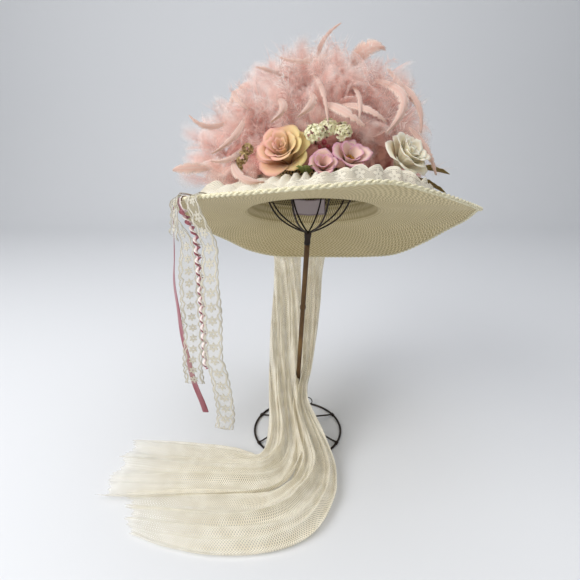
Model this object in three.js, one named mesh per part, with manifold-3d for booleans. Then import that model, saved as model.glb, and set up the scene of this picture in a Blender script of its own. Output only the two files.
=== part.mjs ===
// A trimmed wide-brim straw hat on its wire stand, as an assembly of separate closed solids.
// Millimetres, +Z up, X to the right, Y away from the front. The origin is under the middle of the whole.
import * as THREE from 'three';
import { mergeVertices } from 'three/addons/utils/BufferGeometryUtils.js';
import Module from 'manifold-3d';

const wasm = await Module();
wasm.setup();

// Clearance between pieces that touch
const clearance = 0.3;

// Straw body
const headWidth = 175;
const headLength = 200;
const crownHeight = 105;
const crownSquareness = 2.7;
const strawWall = 2;
const collarHeight = 8;
const brimRight = 212;
const brimLeft = 180;
const brimFront = 222;
const brimBack = 214;
const brimDroop = 47;
const brimCurve = 1.25;
const braidRadius = 2.4;

// How the hat sits on the stand
const hatTilt = 20.5;
const hatShift = 18;
const hatLift = 27;

// Wire stand
const ringRadius = 72.7;
const ringWire = 1.75;
const knotWire = 2.7;
const legWire = 1.4;
const legCount = 6;
const hubRadius = 7;
const hubHeight = 26;
const postRadius = 3.5;
const postHeight = 343;
const postLean = 17.8;
const postFoot = -5;
const ferruleRadius = 5;
const ferruleLength = 18;
const cageRadius = 64;
const cageWire = 1.25;
const cageWires = 8;

// Net scarf
const netWall = 1.4;
const bandWidth = 34;
const bandHeight = 22;
const bandGathers = 18;
const tailWidth = 46;
const tailReach = 280;
const tailFold = 12;

// Lace and ribbons
const laceWall = 1;
const laceHeight = 27;
const ribbonWall = 1;
const satinWidth = 10;
const twistWidth = 7;
const laceRibbonWidth = 21;
const ribbonLength = 330;

// Flowers and feathers
const petalWall = 1.2;
const roseRadius = 30;
const whiteRoseRadius = 27;
const lisianthusRadius = 21;
const budRadius = 14;
const fillerRadius = 8.5;
const leafLength = 34;
const leafWall = 1.2;
const lockLength = 46;
const featherLength = 62;
const featherWidth = 13;
const featherWall = 1.6;
const featherRoot = 8;

// Label inside the crown
const labelWidth = 58;
const labelHeight = 26;
const labelWall = 0.8;

const roundSteps = 36;
const full = Math.PI * 2;
const upAxis = new THREE.Vector3(0, 0, 1);

// Edge height of the brim round the hat, as shares of the droop: bearing 0 is the right, 90 the back.
const brimEdge = [
  { bearing: 0, rise: -0.19 }, { bearing: 15, rise: -0.34 }, { bearing: 30, rise: -0.66 },
  { bearing: 45, rise: -0.96 }, { bearing: 60, rise: -1.0 }, { bearing: 75, rise: -0.98 },
  { bearing: 90, rise: -0.96 }, { bearing: 105, rise: -0.95 }, { bearing: 120, rise: -0.77 },
  { bearing: 135, rise: -0.45 }, { bearing: 150, rise: -0.26 }, { bearing: 165, rise: -0.13 },
  { bearing: 180, rise: 0.06 }, { bearing: 195, rise: 0.03 }, { bearing: 210, rise: -0.06 },
  { bearing: 225, rise: -0.17 }, { bearing: 240, rise: -0.28 }, { bearing: 255, rise: -0.34 },
  { bearing: 270, rise: -0.29 }, { bearing: 285, rise: -0.17 }, { bearing: 300, rise: -0.28 },
  { bearing: 315, rise: -0.34 }, { bearing: 330, rise: -0.28 }, { bearing: 345, rise: -0.09 },
];

// Width and height of the net band round the crown, as shares of its named sizes.
const bandSections = [
  { bearing: 0, width: 0.8, height: 0.8 }, { bearing: 60, width: 0.85, height: 0.9 },
  { bearing: 90, width: 1.1, height: 1.15 }, { bearing: 120, width: 0.85, height: 0.9 },
  { bearing: 180, width: 0.9, height: 0.85 }, { bearing: 225, width: 1.3, height: 0.95 },
  { bearing: 250, width: 1.35, height: 1.0 }, { bearing: 285, width: 1.2, height: 0.9 },
  { bearing: 320, width: 0.9, height: 0.8 },
];

const vec = (x, y, z) => new THREE.Vector3(x, y, z);
const radians = THREE.MathUtils.degToRad;

// Value of a table's column at a bearing in degrees, eased between rows and closed round the circle.
function roundTable(rows, column, bearing) {
  const angle = ((bearing % 360) + 360) % 360;
  let index = rows.length - 1;
  while (index > 0 && rows[index].bearing > angle) {
    index -= 1;
  }
  const pick = (offset) => rows[(index + offset + rows.length) % rows.length];
  const start = pick(0).bearing;
  const end = pick(1).bearing + (pick(1).bearing <= start ? 360 : 0);
  const share = (angle - start) / (end - start);
  const slopeIn = (pick(1)[column] - pick(-1)[column]) / 2;
  const slopeOut = (pick(2)[column] - pick(0)[column]) / 2;
  const square = share * share;
  const cube = square * share;
  return (2 * cube - 3 * square + 1) * pick(0)[column] + (cube - 2 * square + share) * slopeIn
    + (3 * square - 2 * cube) * pick(1)[column] + (cube - square) * slopeOut;
}

// Closed geometry from points and triangles, turned so that its faces point out.
function closedGeometry(points, faces) {
  let volume = 0;
  for (const [a, b, c] of faces) {
    volume += points[a].dot(vec(0, 0, 0).crossVectors(points[b], points[c]));
  }
  const turned = volume < 0 ? faces.map(([a, b, c]) => [a, c, b]) : faces;
  const geometry = new THREE.BufferGeometry().setFromPoints(points);
  geometry.setIndex(turned.flat());
  return geometry;
}

// Solid through closed sections with as many points each. A section of one point is a pole.
function loft(sections, closedAlong = false) {
  const points = sections.flat();
  const starts = [];
  let count = 0;
  for (const section of sections) {
    starts.push(count);
    count += section.length;
  }
  const faces = [];
  const last = closedAlong ? sections.length : sections.length - 1;
  for (let i = 0; i < last; i += 1) {
    const next = (i + 1) % sections.length;
    const sides = Math.max(sections[i].length, sections[next].length);
    for (let j = 0; j < sides; j += 1) {
      const k = (j + 1) % sides;
      const a = starts[i] + (sections[i].length > 1 ? j : 0);
      const b = starts[i] + (sections[i].length > 1 ? k : 0);
      const c = starts[next] + (sections[next].length > 1 ? k : 0);
      const d = starts[next] + (sections[next].length > 1 ? j : 0);
      if (a !== b) {
        faces.push([a, b, c]);
      }
      if (c !== d) {
        faces.push([a, c, d]);
      }
    }
  }
  if (!closedAlong) {
    for (const [row, flip] of [[0, false], [sections.length - 1, true]]) {
      for (let j = 1; j < sections[row].length - 1; j += 1) {
        const fan = [starts[row], starts[row] + j + 1, starts[row] + j];
        faces.push(flip ? [fan[0], fan[2], fan[1]] : fan);
      }
    }
  }
  return closedGeometry(points, faces);
}

// Thin wall on both sides of a grid of points. The rows run along the sheet and may close on themselves.
function sheet(grid, wall, closedAlong = false) {
  const rows = grid.length;
  const columns = grid[0].length;
  const at = (i, j) => {
    const row = closedAlong ? (i + rows) % rows : Math.min(Math.max(i, 0), rows - 1);
    return grid[row][Math.min(Math.max(j, 0), columns - 1)];
  };
  const sections = grid.map((row, i) => {
    const front = [];
    const back = [];
    row.forEach((point, j) => {
      const along = at(i + 1, j).clone().sub(at(i - 1, j));
      const across = at(i, j + 1).clone().sub(at(i, j - 1));
      const normal = along.cross(across).normalize().multiplyScalar(wall / 2);
      front.push(point.clone().add(normal));
      back.push(point.clone().sub(normal));
    });
    return [...front, ...back.reverse()];
  });
  const faces = [];
  const around = columns * 2;
  const last = closedAlong ? rows : rows - 1;
  for (let i = 0; i < last; i += 1) {
    for (let j = 0; j < around; j += 1) {
      const a = i * around + j;
      const b = i * around + ((j + 1) % around);
      const c = ((i + 1) % rows) * around + ((j + 1) % around);
      const d = ((i + 1) % rows) * around + j;
      faces.push(...(j < columns ? [[a, b, c], [a, c, d]] : [[a, b, d], [b, c, d]]));
    }
  }
  if (!closedAlong) {
    for (const [row, flip] of [[0, false], [rows - 1, true]]) {
      for (let j = 0; j < columns - 1; j += 1) {
        const a = row * around + j;
        const b = row * around + j + 1;
        const c = row * around + around - 2 - j;
        const d = row * around + around - 1 - j;
        faces.push(...(flip ? [[a, b, c], [a, c, d]] : [[a, c, b], [a, d, c]]));
      }
    }
  }
  return closedGeometry(sections.flat(), faces);
}

// Round bar along points, with a radius that may change along it. A radius of 0 makes a point.
function bar(path, radiusAt, sides, steps) {
  const curve = new THREE.CatmullRomCurve3(path);
  const frames = curve.computeFrenetFrames(steps, false);
  const sections = [];
  for (let i = 0; i <= steps; i += 1) {
    const centre = curve.getPointAt(i / steps);
    const radius = radiusAt(i / steps);
    if (radius === 0) {
      sections.push([centre]);
      continue;
    }
    const section = [];
    for (let j = 0; j < sides; j += 1) {
      const angle = (full * j) / sides;
      section.push(centre.clone()
        .addScaledVector(frames.normals[i], Math.cos(angle) * radius)
        .addScaledVector(frames.binormals[i], Math.sin(angle) * radius));
    }
    sections.push(section);
  }
  return loft(sections);
}

// Solid for joins and cuts, and its way back to a geometry
function solid(geometry) {
  const bare = new THREE.BufferGeometry();
  bare.setAttribute('position', geometry.getAttribute('position'));
  bare.setIndex(geometry.index);
  const merged = mergeVertices(bare, 1e-4);
  const triangles = [];
  for (let i = 0; i < merged.index.count; i += 3) {
    const [a, b, c] = [0, 1, 2].map((k) => merged.index.getX(i + k));
    if (a !== b && b !== c && c !== a) {
      triangles.push(a, b, c);
    }
  }
  return new wasm.Manifold(new wasm.Mesh({
    numProp: 3,
    vertProperties: new Float32Array(merged.getAttribute('position').array),
    triVerts: new Uint32Array(triangles),
  }));
}

function joined(geometries) {
  return geometries.map(solid).reduce((whole, piece) => whole.add(piece));
}

// The largest body of a solid: what a cut leaves loose is not part of the piece.
function largest(whole) {
  return whole.decompose().sort((a, b) => b.volume() - a.volume())[0];
}

function geometryOf(whole) {
  const mesh = whole.getMesh();
  const points = [];
  for (let i = 0; i < mesh.vertProperties.length; i += mesh.numProp) {
    points.push(mesh.vertProperties[i], mesh.vertProperties[i + 1], mesh.vertProperties[i + 2]);
  }
  const geometry = new THREE.BufferGeometry();
  geometry.setAttribute('position', new THREE.Float32BufferAttribute(points, 3));
  geometry.setIndex(Array.from(mesh.triVerts));
  return geometry;
}

const group = new THREE.Group();
const hat = new THREE.Group();
hat.rotation.x = -radians(hatTilt);
hat.position.set(hatShift, 0, postHeight + hatLift);
hat.updateMatrixWorld(true);
group.add(hat);
const toRoom = (point) => point.clone().applyMatrix4(hat.matrix);

function piece(parent, name, geometry, color, roughness = 0.8, metalness = 0) {
  const mesh = new THREE.Mesh(geometry, new THREE.MeshStandardMaterial({ color, roughness, metalness }));
  mesh.name = name;
  parent.add(mesh);
  return mesh;
}

// Straw crown
const headA = headWidth / 2 + strawWall;
const headB = headLength / 2 + strawWall;

// Share of the full oval that the crown still has at a height, from 1 at the headline to 0 at the top
function crownShare(height, top) {
  const share = Math.min(Math.max(height / top, 0), 1);
  return (1 - share ** crownSquareness) ** (1 / crownSquareness);
}

function ovalRadius(a, b, angle) {
  return 1 / Math.hypot(Math.cos(angle) / a, Math.sin(angle) / b);
}

function oval(a, b, height, steps) {
  return Array.from({ length: steps }, (_, i) => {
    const angle = (full * i) / steps;
    const radius = ovalRadius(a, b, angle);
    return vec(Math.cos(angle) * radius, Math.sin(angle) * radius, height);
  });
}

const domeLevels = [0, 0.35, 0.65, 0.85, 0.95, 1];

function domeRings(a, b, top, steps) {
  return domeLevels.map((level) => {
    const share = crownShare(level * top, top);
    return share === 0 ? [vec(0, 0, top)] : oval(a * share, b * share, level * top, steps);
  });
}

// The same share measured on the crown's flat facets, straight between two levels
function domeShare(height, top) {
  const level = Math.min(Math.max(height / top, 0), 1);
  const above = Math.max(domeLevels.findIndex((row) => row > level), 1);
  const low = domeLevels[above - 1];
  const high = domeLevels[above];
  const share = (level - low) / (high - low);
  return crownShare(low * top, top) * (1 - share) + crownShare(high * top, top) * share;
}

const outerDome = domeRings(headA, headB, crownHeight, roundSteps);
const innerDome = domeRings(headA - strawWall, headB - strawWall, crownHeight - strawWall, roundSteps);
piece(hat, 'crown', loft([...outerDome.reverse(), ...innerDome]), 0xada37a);

// Plain room that the crown takes from what lies round it
function crownRoom(gap) {
  const sides = roundSteps / 2;
  const [a, b] = [headA, headB].map((size) => (size + gap) / Math.cos(full / sides / 2));
  return solid(loft([oval(a, b, -crownHeight, sides), ...domeRings(a, b, crownHeight + gap, sides)]));
}

// Straw brim with a collar that stands round the crown's foot
const collarA = headA + clearance;
const collarB = headB + clearance;

function brimReach(angle) {
  return ovalRadius(Math.cos(angle) > 0 ? brimRight : brimLeft, Math.sin(angle) > 0 ? brimBack : brimFront, angle);
}

function brimPoint(angle, share, rise = 0) {
  const inner = ovalRadius(collarA, collarB, angle);
  const radius = inner + (brimReach(angle) - inner) * share;
  const edge = roundTable(brimEdge, 'rise', (angle * 360) / full) * brimDroop;
  return vec(Math.cos(angle) * radius, Math.sin(angle) * radius, edge * Math.max(share, 0) ** brimCurve + rise);
}

// Height of the brim's top face under a point in the hat's own frame
const brimLevels = [0.25, 0.5, 0.75, 1];

function brimTop(x, y) {
  const radius = Math.hypot(x, y);
  const turn = (Math.atan2(y, x) / full) * roundSteps;
  const rib = Math.floor(turn);
  const heightAt = (index) => {
    const ring = [0, ...brimLevels].map((level) => brimPoint((full * index) / roundSteps, level, strawWall / 2));
    const reaches = ring.map((point) => Math.hypot(point.x, point.y));
    const outer = Math.max(reaches.findIndex((reach) => reach > radius), 1) || ring.length - 1;
    const k = radius > reaches[reaches.length - 1] ? ring.length - 1 : outer;
    const share = Math.min(Math.max((radius - reaches[k - 1]) / (reaches[k] - reaches[k - 1]), 0), 1);
    return ring[k - 1].z * (1 - share) + ring[k].z * share;
  };
  return heightAt(rib) * (1 - turn + rib) + heightAt(rib + 1) * (turn - rib);
}

// The brim itself, or with a gap the room that it takes from what lies on it
function brimSolid(gap = 0) {
  const shares = brimLevels.map((level) => (level === 1 && gap > 0 ? 1.04 : level));
  const half = strawWall / 2 + gap;
  const sections = [];
  for (let i = 0; i < roundSteps; i += 1) {
    const angle = (full * i) / roundSteps;
    const inner = brimPoint(angle, 0);
    const outward = vec(Math.cos(angle), Math.sin(angle), 0);
    const collarFoot = inner.clone().addScaledVector(outward, strawWall + gap);
    sections.push([
      inner.clone().setZ(-half),
      inner.clone().setZ(collarHeight + gap),
      collarFoot.clone().setZ(collarHeight + gap),
      collarFoot.clone().setZ(strawWall * 0.75 + gap),
      ...shares.map((share) => brimPoint(angle, share, half)),
      ...shares.toReversed().map((share) => brimPoint(angle, share, -half)),
    ]);
  }
  return loft(sections, true);
}

piece(hat, 'brim', brimSolid(), 0xa89d72);

// Twisted braid along the brim's edge: fat and thin turns by turns
function braidSolid() {
  const steps = roundSteps * 2;
  const sides = 4;
  const sections = [];
  for (let i = 0; i < steps; i += 1) {
    const angle = (full * i) / steps;
    const low = brimPoint((Math.floor(i / 2) * 2 * full) / steps, 1);
    const high = brimPoint((Math.ceil(i / 2) * 2 * full) / steps, 1);
    const edge = low.lerp(high, 0.5);
    const radius = braidRadius * (i % 2 ? 1 : 0.8);
    const outward = vec(Math.cos(angle), Math.sin(angle), 0);
    edge.addScaledVector(outward, braidRadius + clearance);
    const section = [];
    for (let j = 0; j < sides; j += 1) {
      const turn = (full * j) / sides;
      section.push(edge.clone().addScaledVector(outward, Math.cos(turn) * radius)
        .addScaledVector(upAxis, Math.sin(turn) * radius));
    }
    sections.push(section);
  }
  return loft(sections, true);
}

piece(hat, 'brim_edge_braid', braidSolid(), 0xe8e2b8);

// Blank label on the inside of the crown's far wall
function labelSolid() {
  const grid = [];
  const columns = 6;
  for (let i = 0; i <= columns; i += 1) {
    const angle = full / 4 + ((0.5 - i / columns) * labelWidth) / headB;
    const inner = ovalRadius(headA - strawWall, headB - strawWall, angle) * Math.cos(full / roundSteps / 2);
    grid.push([0, 0.5, 1].map((rise) => {
      const height = crownHeight * 0.12 + labelHeight * rise;
      const radius = inner * domeShare(height, crownHeight - strawWall) - labelWall / 2 - clearance;
      return vec(Math.cos(angle) * radius, Math.sin(angle) * radius, height);
    }));
  }
  return sheet(grid, labelWall);
}

piece(hat, 'label', labelSolid(), 0xc9c2cf);

// Gathered net band that lies round the crown's foot on the brim
const bandInnerGap = strawWall + clearance * 2;

function bandSolid(grow) {
  const sections = [];
  const steps = roundSteps;
  for (let i = 0; i < steps; i += 1) {
    const angle = (full * i) / steps;
    const bearing = (angle * 360) / full;
    const gather = 1 + 0.07 * Math.cos(angle * bandGathers);
    const inner = ovalRadius(headA, headB, angle) + bandInnerGap - grow;
    const width = bandWidth * roundTable(bandSections, 'width', bearing) * gather + grow * 2;
    const height = bandHeight * roundTable(bandSections, 'height', bearing) * gather;
    const place = (share, rise) => {
      const radius = inner + width * share;
      const x = Math.cos(angle) * radius;
      const y = Math.sin(angle) * radius;
      return vec(x, y, brimTop(x, y) + clearance * 2 + rise * height + (rise > 0 ? grow : -grow));
    };
    sections.push([place(0, 0), place(0, 0.95), place(0.3, 1), place(0.7, 0.8), place(0.97, 0.35), place(1, 0),
      place(0.5, 0)]);
  }
  return solid(loft(sections, true));
}

// Flowers: nested cups of lobed petals on a calyx and stem that reach back to the crown
function petalCup(shape) {
  const { radius, foot, rise, lobes, flare, turn } = shape;
  const columns = lobes * 2;
  const grid = [];
  for (let i = 0; i < columns; i += 1) {
    const angle = (full * i) / columns + turn;
    const lobe = Math.cos(lobes * (angle - turn));
    grid.push([
      vec(Math.cos(angle) * radius * 0.22, Math.sin(angle) * radius * 0.22, foot),
      vec(Math.cos(angle) * radius * (0.82 + 0.05 * lobe), Math.sin(angle) * radius * (0.82 + 0.05 * lobe),
        foot + rise * 0.5),
      vec(Math.cos(angle) * radius * (flare + 0.13 * lobe), Math.sin(angle) * radius * (flare + 0.13 * lobe),
        foot + rise * (0.95 + 0.1 * lobe)),
    ]);
  }
  return sheet(grid, petalWall, true);
}

const roseCups = [
  { size: 0.9, foot: 0, rise: 0.5, lobes: 5, flare: 1.0, turn: 0.2 },
  { size: 0.68, foot: 0.06, rise: 0.66, lobes: 4, flare: 0.98, turn: 0.9 },
  { size: 0.4, foot: 0.12, rise: 0.72, lobes: 3, flare: 0.9, turn: 0.4 },
];
const lisianthusCups = [
  { size: 0.92, foot: 0, rise: 0.42, lobes: 5, flare: 1.0, turn: 0.5 },
  { size: 0.6, foot: 0.08, rise: 0.5, lobes: 4, flare: 1.0, turn: 0.1 },
];

function flowerSolid(radius, cups, heart, stem) {
  const parts = cups.map((cup) => petalCup({
    radius: radius * cup.size,
    foot: radius * cup.foot,
    rise: radius * cup.rise,
    lobes: cup.lobes,
    flare: cup.flare,
    turn: cup.turn,
  }));
  const around = (size, height) => oval(size, size, height, 6);
  parts.push(loft([
    around(radius * 0.1, -stem),
    around(radius * 0.14, -radius * 0.25),
    around(radius * 0.3, 0),
    around(radius * heart, radius * 0.35),
    [vec(0, 0, radius * 0.75)],
  ]));
  return joined(parts);
}

// Plain room round a flower and its stem, cut into the softer pieces that it is pushed into
function flowerRoom(radius, stem, gap) {
  const sides = 8;
  const around = (size, height) => {
    const reach = (size + gap) / Math.cos(full / sides / 2);
    return oval(reach, reach, height, sides);
  };
  return loft([
    around(radius * 0.14, -stem - gap),
    around(radius * 0.22, -gap),
    around(radius * 0.85, radius * 0.25 - gap),
    around(radius * 1.04, radius * 0.5),
    around(radius * 1.04, radius * 0.8),
  ]);
}

// Places each flower by its bearing and height on the crown: `out` is how far its calyx stands off the wall.
const flowers = [
  { name: 'peach_rose', radius: roseRadius, cups: roseCups, heart: 0.2, bearing: 251, up: 0.36, lift: 12,
    out: 0.75, color: 0xe9b98d },
  { name: 'white_rose', radius: whiteRoseRadius, cups: roseCups, heart: 0.2, bearing: 311, up: 0.47, lift: 14,
    out: 0.75, color: 0xe9e6d0 },
  { name: 'pink_lisianthus_1', radius: lisianthusRadius, cups: lisianthusCups, heart: 0.16, bearing: 282, up: 0.3,
    lift: 14, out: 1.1, color: 0xd9a0a8 },
  { name: 'pink_lisianthus_2', radius: budRadius, cups: lisianthusCups, heart: 0.16, bearing: 268.5, up: 0.24,
    lift: 6, out: 2.4, color: 0xd592a4 },
];

function wallPoint(bearing, height) {
  const angle = radians(bearing);
  const share = domeShare(height, crownHeight);
  return vec(Math.cos(angle), Math.sin(angle), 0)
    .multiplyScalar(ovalRadius(headA * share, headB * share, angle)).setZ(height);
}

function facing(bearing, lift) {
  return vec(Math.cos(radians(bearing)) * Math.cos(radians(lift)), Math.sin(radians(bearing)) * Math.cos(radians(lift)),
    Math.sin(radians(lift)));
}

// Turns a shape that looks along Z to look along a direction from a point
function placed(geometry, point, direction) {
  const turn = new THREE.Quaternion().setFromUnitVectors(upAxis, direction);
  return geometry.applyMatrix4(new THREE.Matrix4().compose(point, turn, vec(1, 1, 1)));
}

const flowerSeats = [];
for (const flower of flowers) {
  const stem = flower.radius * flower.out;
  const direction = facing(flower.bearing, flower.lift);
  const foot = wallPoint(flower.bearing, crownHeight * flower.up).addScaledVector(direction, stem + clearance * 2.5);
  const geometry = geometryOf(flowerSolid(flower.radius, flower.cups, flower.heart, stem));
  flowerSeats.push(solid(placed(flowerRoom(flower.radius, stem, clearance), foot, direction)));
  piece(hat, flower.name, placed(geometry, foot, direction), flower.color);
}

// Cream filler flowers: a head of small round florets on a thin stem
const fillers = [
  { bearing: 264.5, up: 0.6, lift: 16, out: 3.5, size: 1 },
  { bearing: 272.5, up: 0.69, lift: 18, out: 3.2, size: 0.94 },
  { bearing: 280.5, up: 0.64, lift: 16, out: 3.4, size: 0.94 },
];

function fillerGeometry(radius, stem) {
  const lobed = (size, height) => Array.from({ length: 10 }, (_, i) => {
    const reach = size * (i % 2 ? 0.68 : 1);
    return vec(Math.cos((full * i) / 10) * reach, Math.sin((full * i) / 10) * reach, height);
  });
  return loft([
    oval(radius * 0.13, radius * 0.13, -stem, 10),
    oval(radius * 0.13, radius * 0.13, -radius * 0.1, 10),
    lobed(radius, radius * 0.5),
    lobed(radius * 0.8, radius * 0.75),
    [vec(0, 0, radius * 0.65)],
  ]);
}

fillers.forEach((filler, index) => {
  const radius = fillerRadius * filler.size;
  const stem = radius * filler.out;
  const direction = facing(filler.bearing, filler.lift);
  const foot = wallPoint(filler.bearing, crownHeight * filler.up).addScaledVector(direction, stem + clearance * 2.5);
  flowerSeats.push(solid(placed(flowerRoom(radius, stem, clearance * 2), foot, direction)));
  piece(hat, `filler_flower_${index + 1}`, placed(fillerGeometry(radius, stem), foot, direction), 0xefe9c4);
});

// Leaves that look out between the flowers and the feathers, by their root's bearing, its distance as a share of the
// head's length and its height as a share of the crown's
const leaves = [
  { name: 'green_leaf', bearing: 260.5, reach: 0.53, up: 0.2, lift: -6, size: 1, color: 0x7d8f55 },
  { name: 'brown_leaf_1', bearing: 346, reach: 0.585, up: 0.52, lift: 8, size: 1.35, color: 0x8a7a4c },
  { name: 'brown_leaf_2', bearing: 349, reach: 0.594, up: 0.36, lift: -12, size: 1.35, color: 0x86703f },
];

function leafGeometry(leaf, gap) {
  const start = radians(leaf.bearing);
  const root = vec(Math.cos(start), Math.sin(start), 0).multiplyScalar(headLength * leaf.reach)
    .setZ(crownHeight * leaf.up);
  const direction = facing(leaf.bearing, leaf.lift);
  const wide = vec(-Math.sin(start), Math.cos(start), 0);
  const length = leafLength * leaf.size;
  const steps = 4;
  const grid = [];
  for (let i = 0; i <= steps; i += 1) {
    const share = i / steps;
    const along = length * share + gap * 2 * (share * 2 - 1);
    const half = leafLength * 0.25 * Math.sin(Math.PI * (0.08 + 0.84 * share)) + gap * 2;
    const centre = root.clone().addScaledVector(direction, along);
    const droop = length * 0.12 * share * share;
    grid.push([-1, 0, 1].map((side) => centre.clone().addScaledVector(wide, half * side)
      .addScaledVector(upAxis, half * 0.3 * Math.abs(side) - droop)));
  }
  return sheet(grid, leafWall + gap * 2);
}

for (const leaf of leaves) {
  flowerSeats.push(solid(leafGeometry(leaf, clearance * 1.5)));
  piece(hat, leaf.name, leafGeometry(leaf, 0), leaf.color);
}

// Feather boa: a mound of fluff over the crown, with tapered locks and long curled feathers fused to it.
// Reach of the fluff from the crown's axis as shares of the head's length, heights of the crown's height.
const fluffLevels = [
  { height: 0.29, left: 0.6, front: 0.36, right: 0.58, back: 0.5 },
  { height: 0.5, left: 0.74, front: 0.42, right: 0.73, back: 0.6 },
  { height: 0.85, left: 0.68, front: 0.5, right: 0.71, back: 0.6 },
  { height: 1.2, left: 0.57, front: 0.49, right: 0.66, back: 0.53 },
  { height: 1.55, left: 0.4, front: 0.38, right: 0.58, back: 0.42 },
  { height: 1.85, left: 0.17, front: 0.22, right: 0.44, back: 0.24 },
];
const fluffTop = { height: 2.06, across: 0.12 };
const fluffHeart = vec(0, 0, crownHeight * 0.62);

function fluffReach(row, angle) {
  const across = Math.cos(angle) > 0 ? row.right : row.left;
  const along = Math.sin(angle) > 0 ? row.back : row.front;
  return ovalRadius(across * headLength, along * headLength, angle);
}

function fluffRing(row, index) {
  return Array.from({ length: 24 }, (_, i) => {
    const angle = (full * i) / 24;
    const reach = fluffReach(row, angle) * (1 + 0.06 * Math.sin(angle * 5 + index * 1.9));
    return vec(Math.cos(angle) * reach, Math.sin(angle) * reach, row.height * crownHeight);
  });
}

const fluffRings = fluffLevels.map(fluffRing);
const fluffPeak = vec(fluffTop.across * headLength, 0, fluffTop.height * crownHeight);

// The mound with a tapered lock drawn out of every second patch of its skin
function tuftedMound() {
  const points = [...fluffRings.flat(), fluffPeak];
  const columns = fluffRings[0].length;
  const peak = points.length - 1;
  const faces = [];
  for (let i = 0; i < fluffRings.length - 1; i += 1) {
    for (let j = 0; j < columns; j += 1) {
      const next = (j + 1) % columns;
      const patch = [i * columns + j, i * columns + next, (i + 1) * columns + next, (i + 1) * columns + j];
      if ((i + j) % 2) {
        faces.push([patch[0], patch[1], patch[2]], [patch[0], patch[2], patch[3]]);
        continue;
      }
      const corners = patch.map((index) => points[index]);
      const centre = corners.reduce((sum, corner) => sum.add(corner), vec(0, 0, 0)).divideScalar(4);
      const out = centre.clone().sub(fluffHeart).normalize();
      const length = lockLength * (0.8 + 0.2 * Math.cos(j * 1.7 + i));
      const sweep = vec(-out.y, out.x, (i + j) % 3 ? -0.3 : 0.6).multiplyScalar(length * (j % 4 ? 0.3 : -0.3));
      const waist = points.length;
      for (const corner of corners) {
        points.push(corner.clone().lerp(centre, 0.45).addScaledVector(out, length * 0.5));
      }
      points.push(centre.clone().addScaledVector(out, length).add(sweep));
      for (let k = 0; k < 4; k += 1) {
        const m = (k + 1) % 4;
        faces.push([patch[k], patch[m], waist + m], [patch[k], waist + m, waist + k], [waist + k, waist + m, waist + 4]);
      }
    }
  }
  const top = (fluffRings.length - 1) * columns;
  for (let j = 0; j < columns; j += 1) {
    faces.push([top + j, top + ((j + 1) % columns), peak]);
    if (j > 0 && j < columns - 1) {
      faces.push([0, j + 1, j]);
    }
  }
  return closedGeometry(points, faces);
}

// Long curled feathers: each stands on a point of the mound, with length and curl as shares
const curledFeathers = [
  { level: 2, column: 13, length: 0.6, curl: 0.7 }, { level: 3, column: 13, length: 0.75, curl: 0.9 },
  { level: 4, column: 14, length: 0.8, curl: 0.6 }, { level: 4, column: 17, length: 0.75, curl: 0.9 },
  { level: 5, column: 18, length: 1.25, curl: -0.3 }, { level: 4, column: 19, length: 0.75, curl: -0.8 },
  { level: 5, column: 20, length: 0.95, curl: 0.4 }, { level: 5, column: 22, length: 1, curl: -0.5 },
  { level: 3, column: 20, length: 0.7, curl: -1 }, { level: 4, column: 22, length: 0.85, curl: -0.9 },
  { level: 3, column: 23, length: 0.75, curl: -0.8 }, { level: 4, column: 4, length: 0.75, curl: -0.6 },
  { level: 4, column: 7, length: 0.8, curl: 0.6 },
];

function curledFeather(row) {
  const root = fluffRings[row.level][row.column];
  const out = root.clone().sub(fluffHeart).normalize();
  const side = vec(out.z, 0, -out.x).normalize();
  const wide = side.clone().multiplyScalar(0.8).add(vec(0, 0.6, 0)).normalize();
  const length = featherLength * row.length;
  const steps = 4;
  const grid = [];
  for (let i = 0; i <= steps; i += 1) {
    const share = i / steps;
    const bend = row.curl * share * share;
    const centre = root.clone().addScaledVector(out, length * (share - 0.28 * Math.abs(bend) * share) - featherRoot)
      .addScaledVector(side, length * 0.6 * bend);
    const half = (featherWidth / 2) * Math.sin(Math.PI * (0.14 + 0.8 * share));
    grid.push([centre.clone().addScaledVector(wide, -half), centre.clone().addScaledVector(wide, half)]);
  }
  return sheet(grid, featherWall);
}

const collarCut = solid(loft([oval(headA + bandInnerGap, headB + bandInnerGap, -1, roundSteps),
  oval(headA + bandInnerGap, headB + bandInnerGap, collarHeight + clearance, roundSteps)]));
const strawRooms = [crownRoom(clearance * 1.5), collarCut, solid(brimSolid(clearance * 1.5))];
const cutBy = (whole, rooms) => largest(rooms.reduce((rest, room) => rest.subtract(room), whole));
piece(hat, 'net_scarf_band', geometryOf(cutBy(bandSolid(0), [...strawRooms, ...flowerSeats])), 0xe4dcc0);

const boaRooms = [...strawRooms, bandSolid(clearance * 2.5), ...flowerSeats];
const boa = joined([tuftedMound(), ...curledFeathers.map(curledFeather)]);
piece(hat, 'feather_boa', geometryOf(cutBy(boa, boaRooms)), 0xcf9a94);

// Lace ruffle that stands on the brim along the front and right of the trimming
const ruffleRows = [
  { bearing: 258, height: 0.35, share: 0.6 }, { bearing: 271, height: 0.65, share: 0.58 },
  { bearing: 283, height: 0.95, share: 0.54 }, { bearing: 298, height: 1.15, share: 0.55 },
  { bearing: 317, height: 1.2, share: 0.58 }, { bearing: 336, height: 0.85, share: 0.64 },
];

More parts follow.
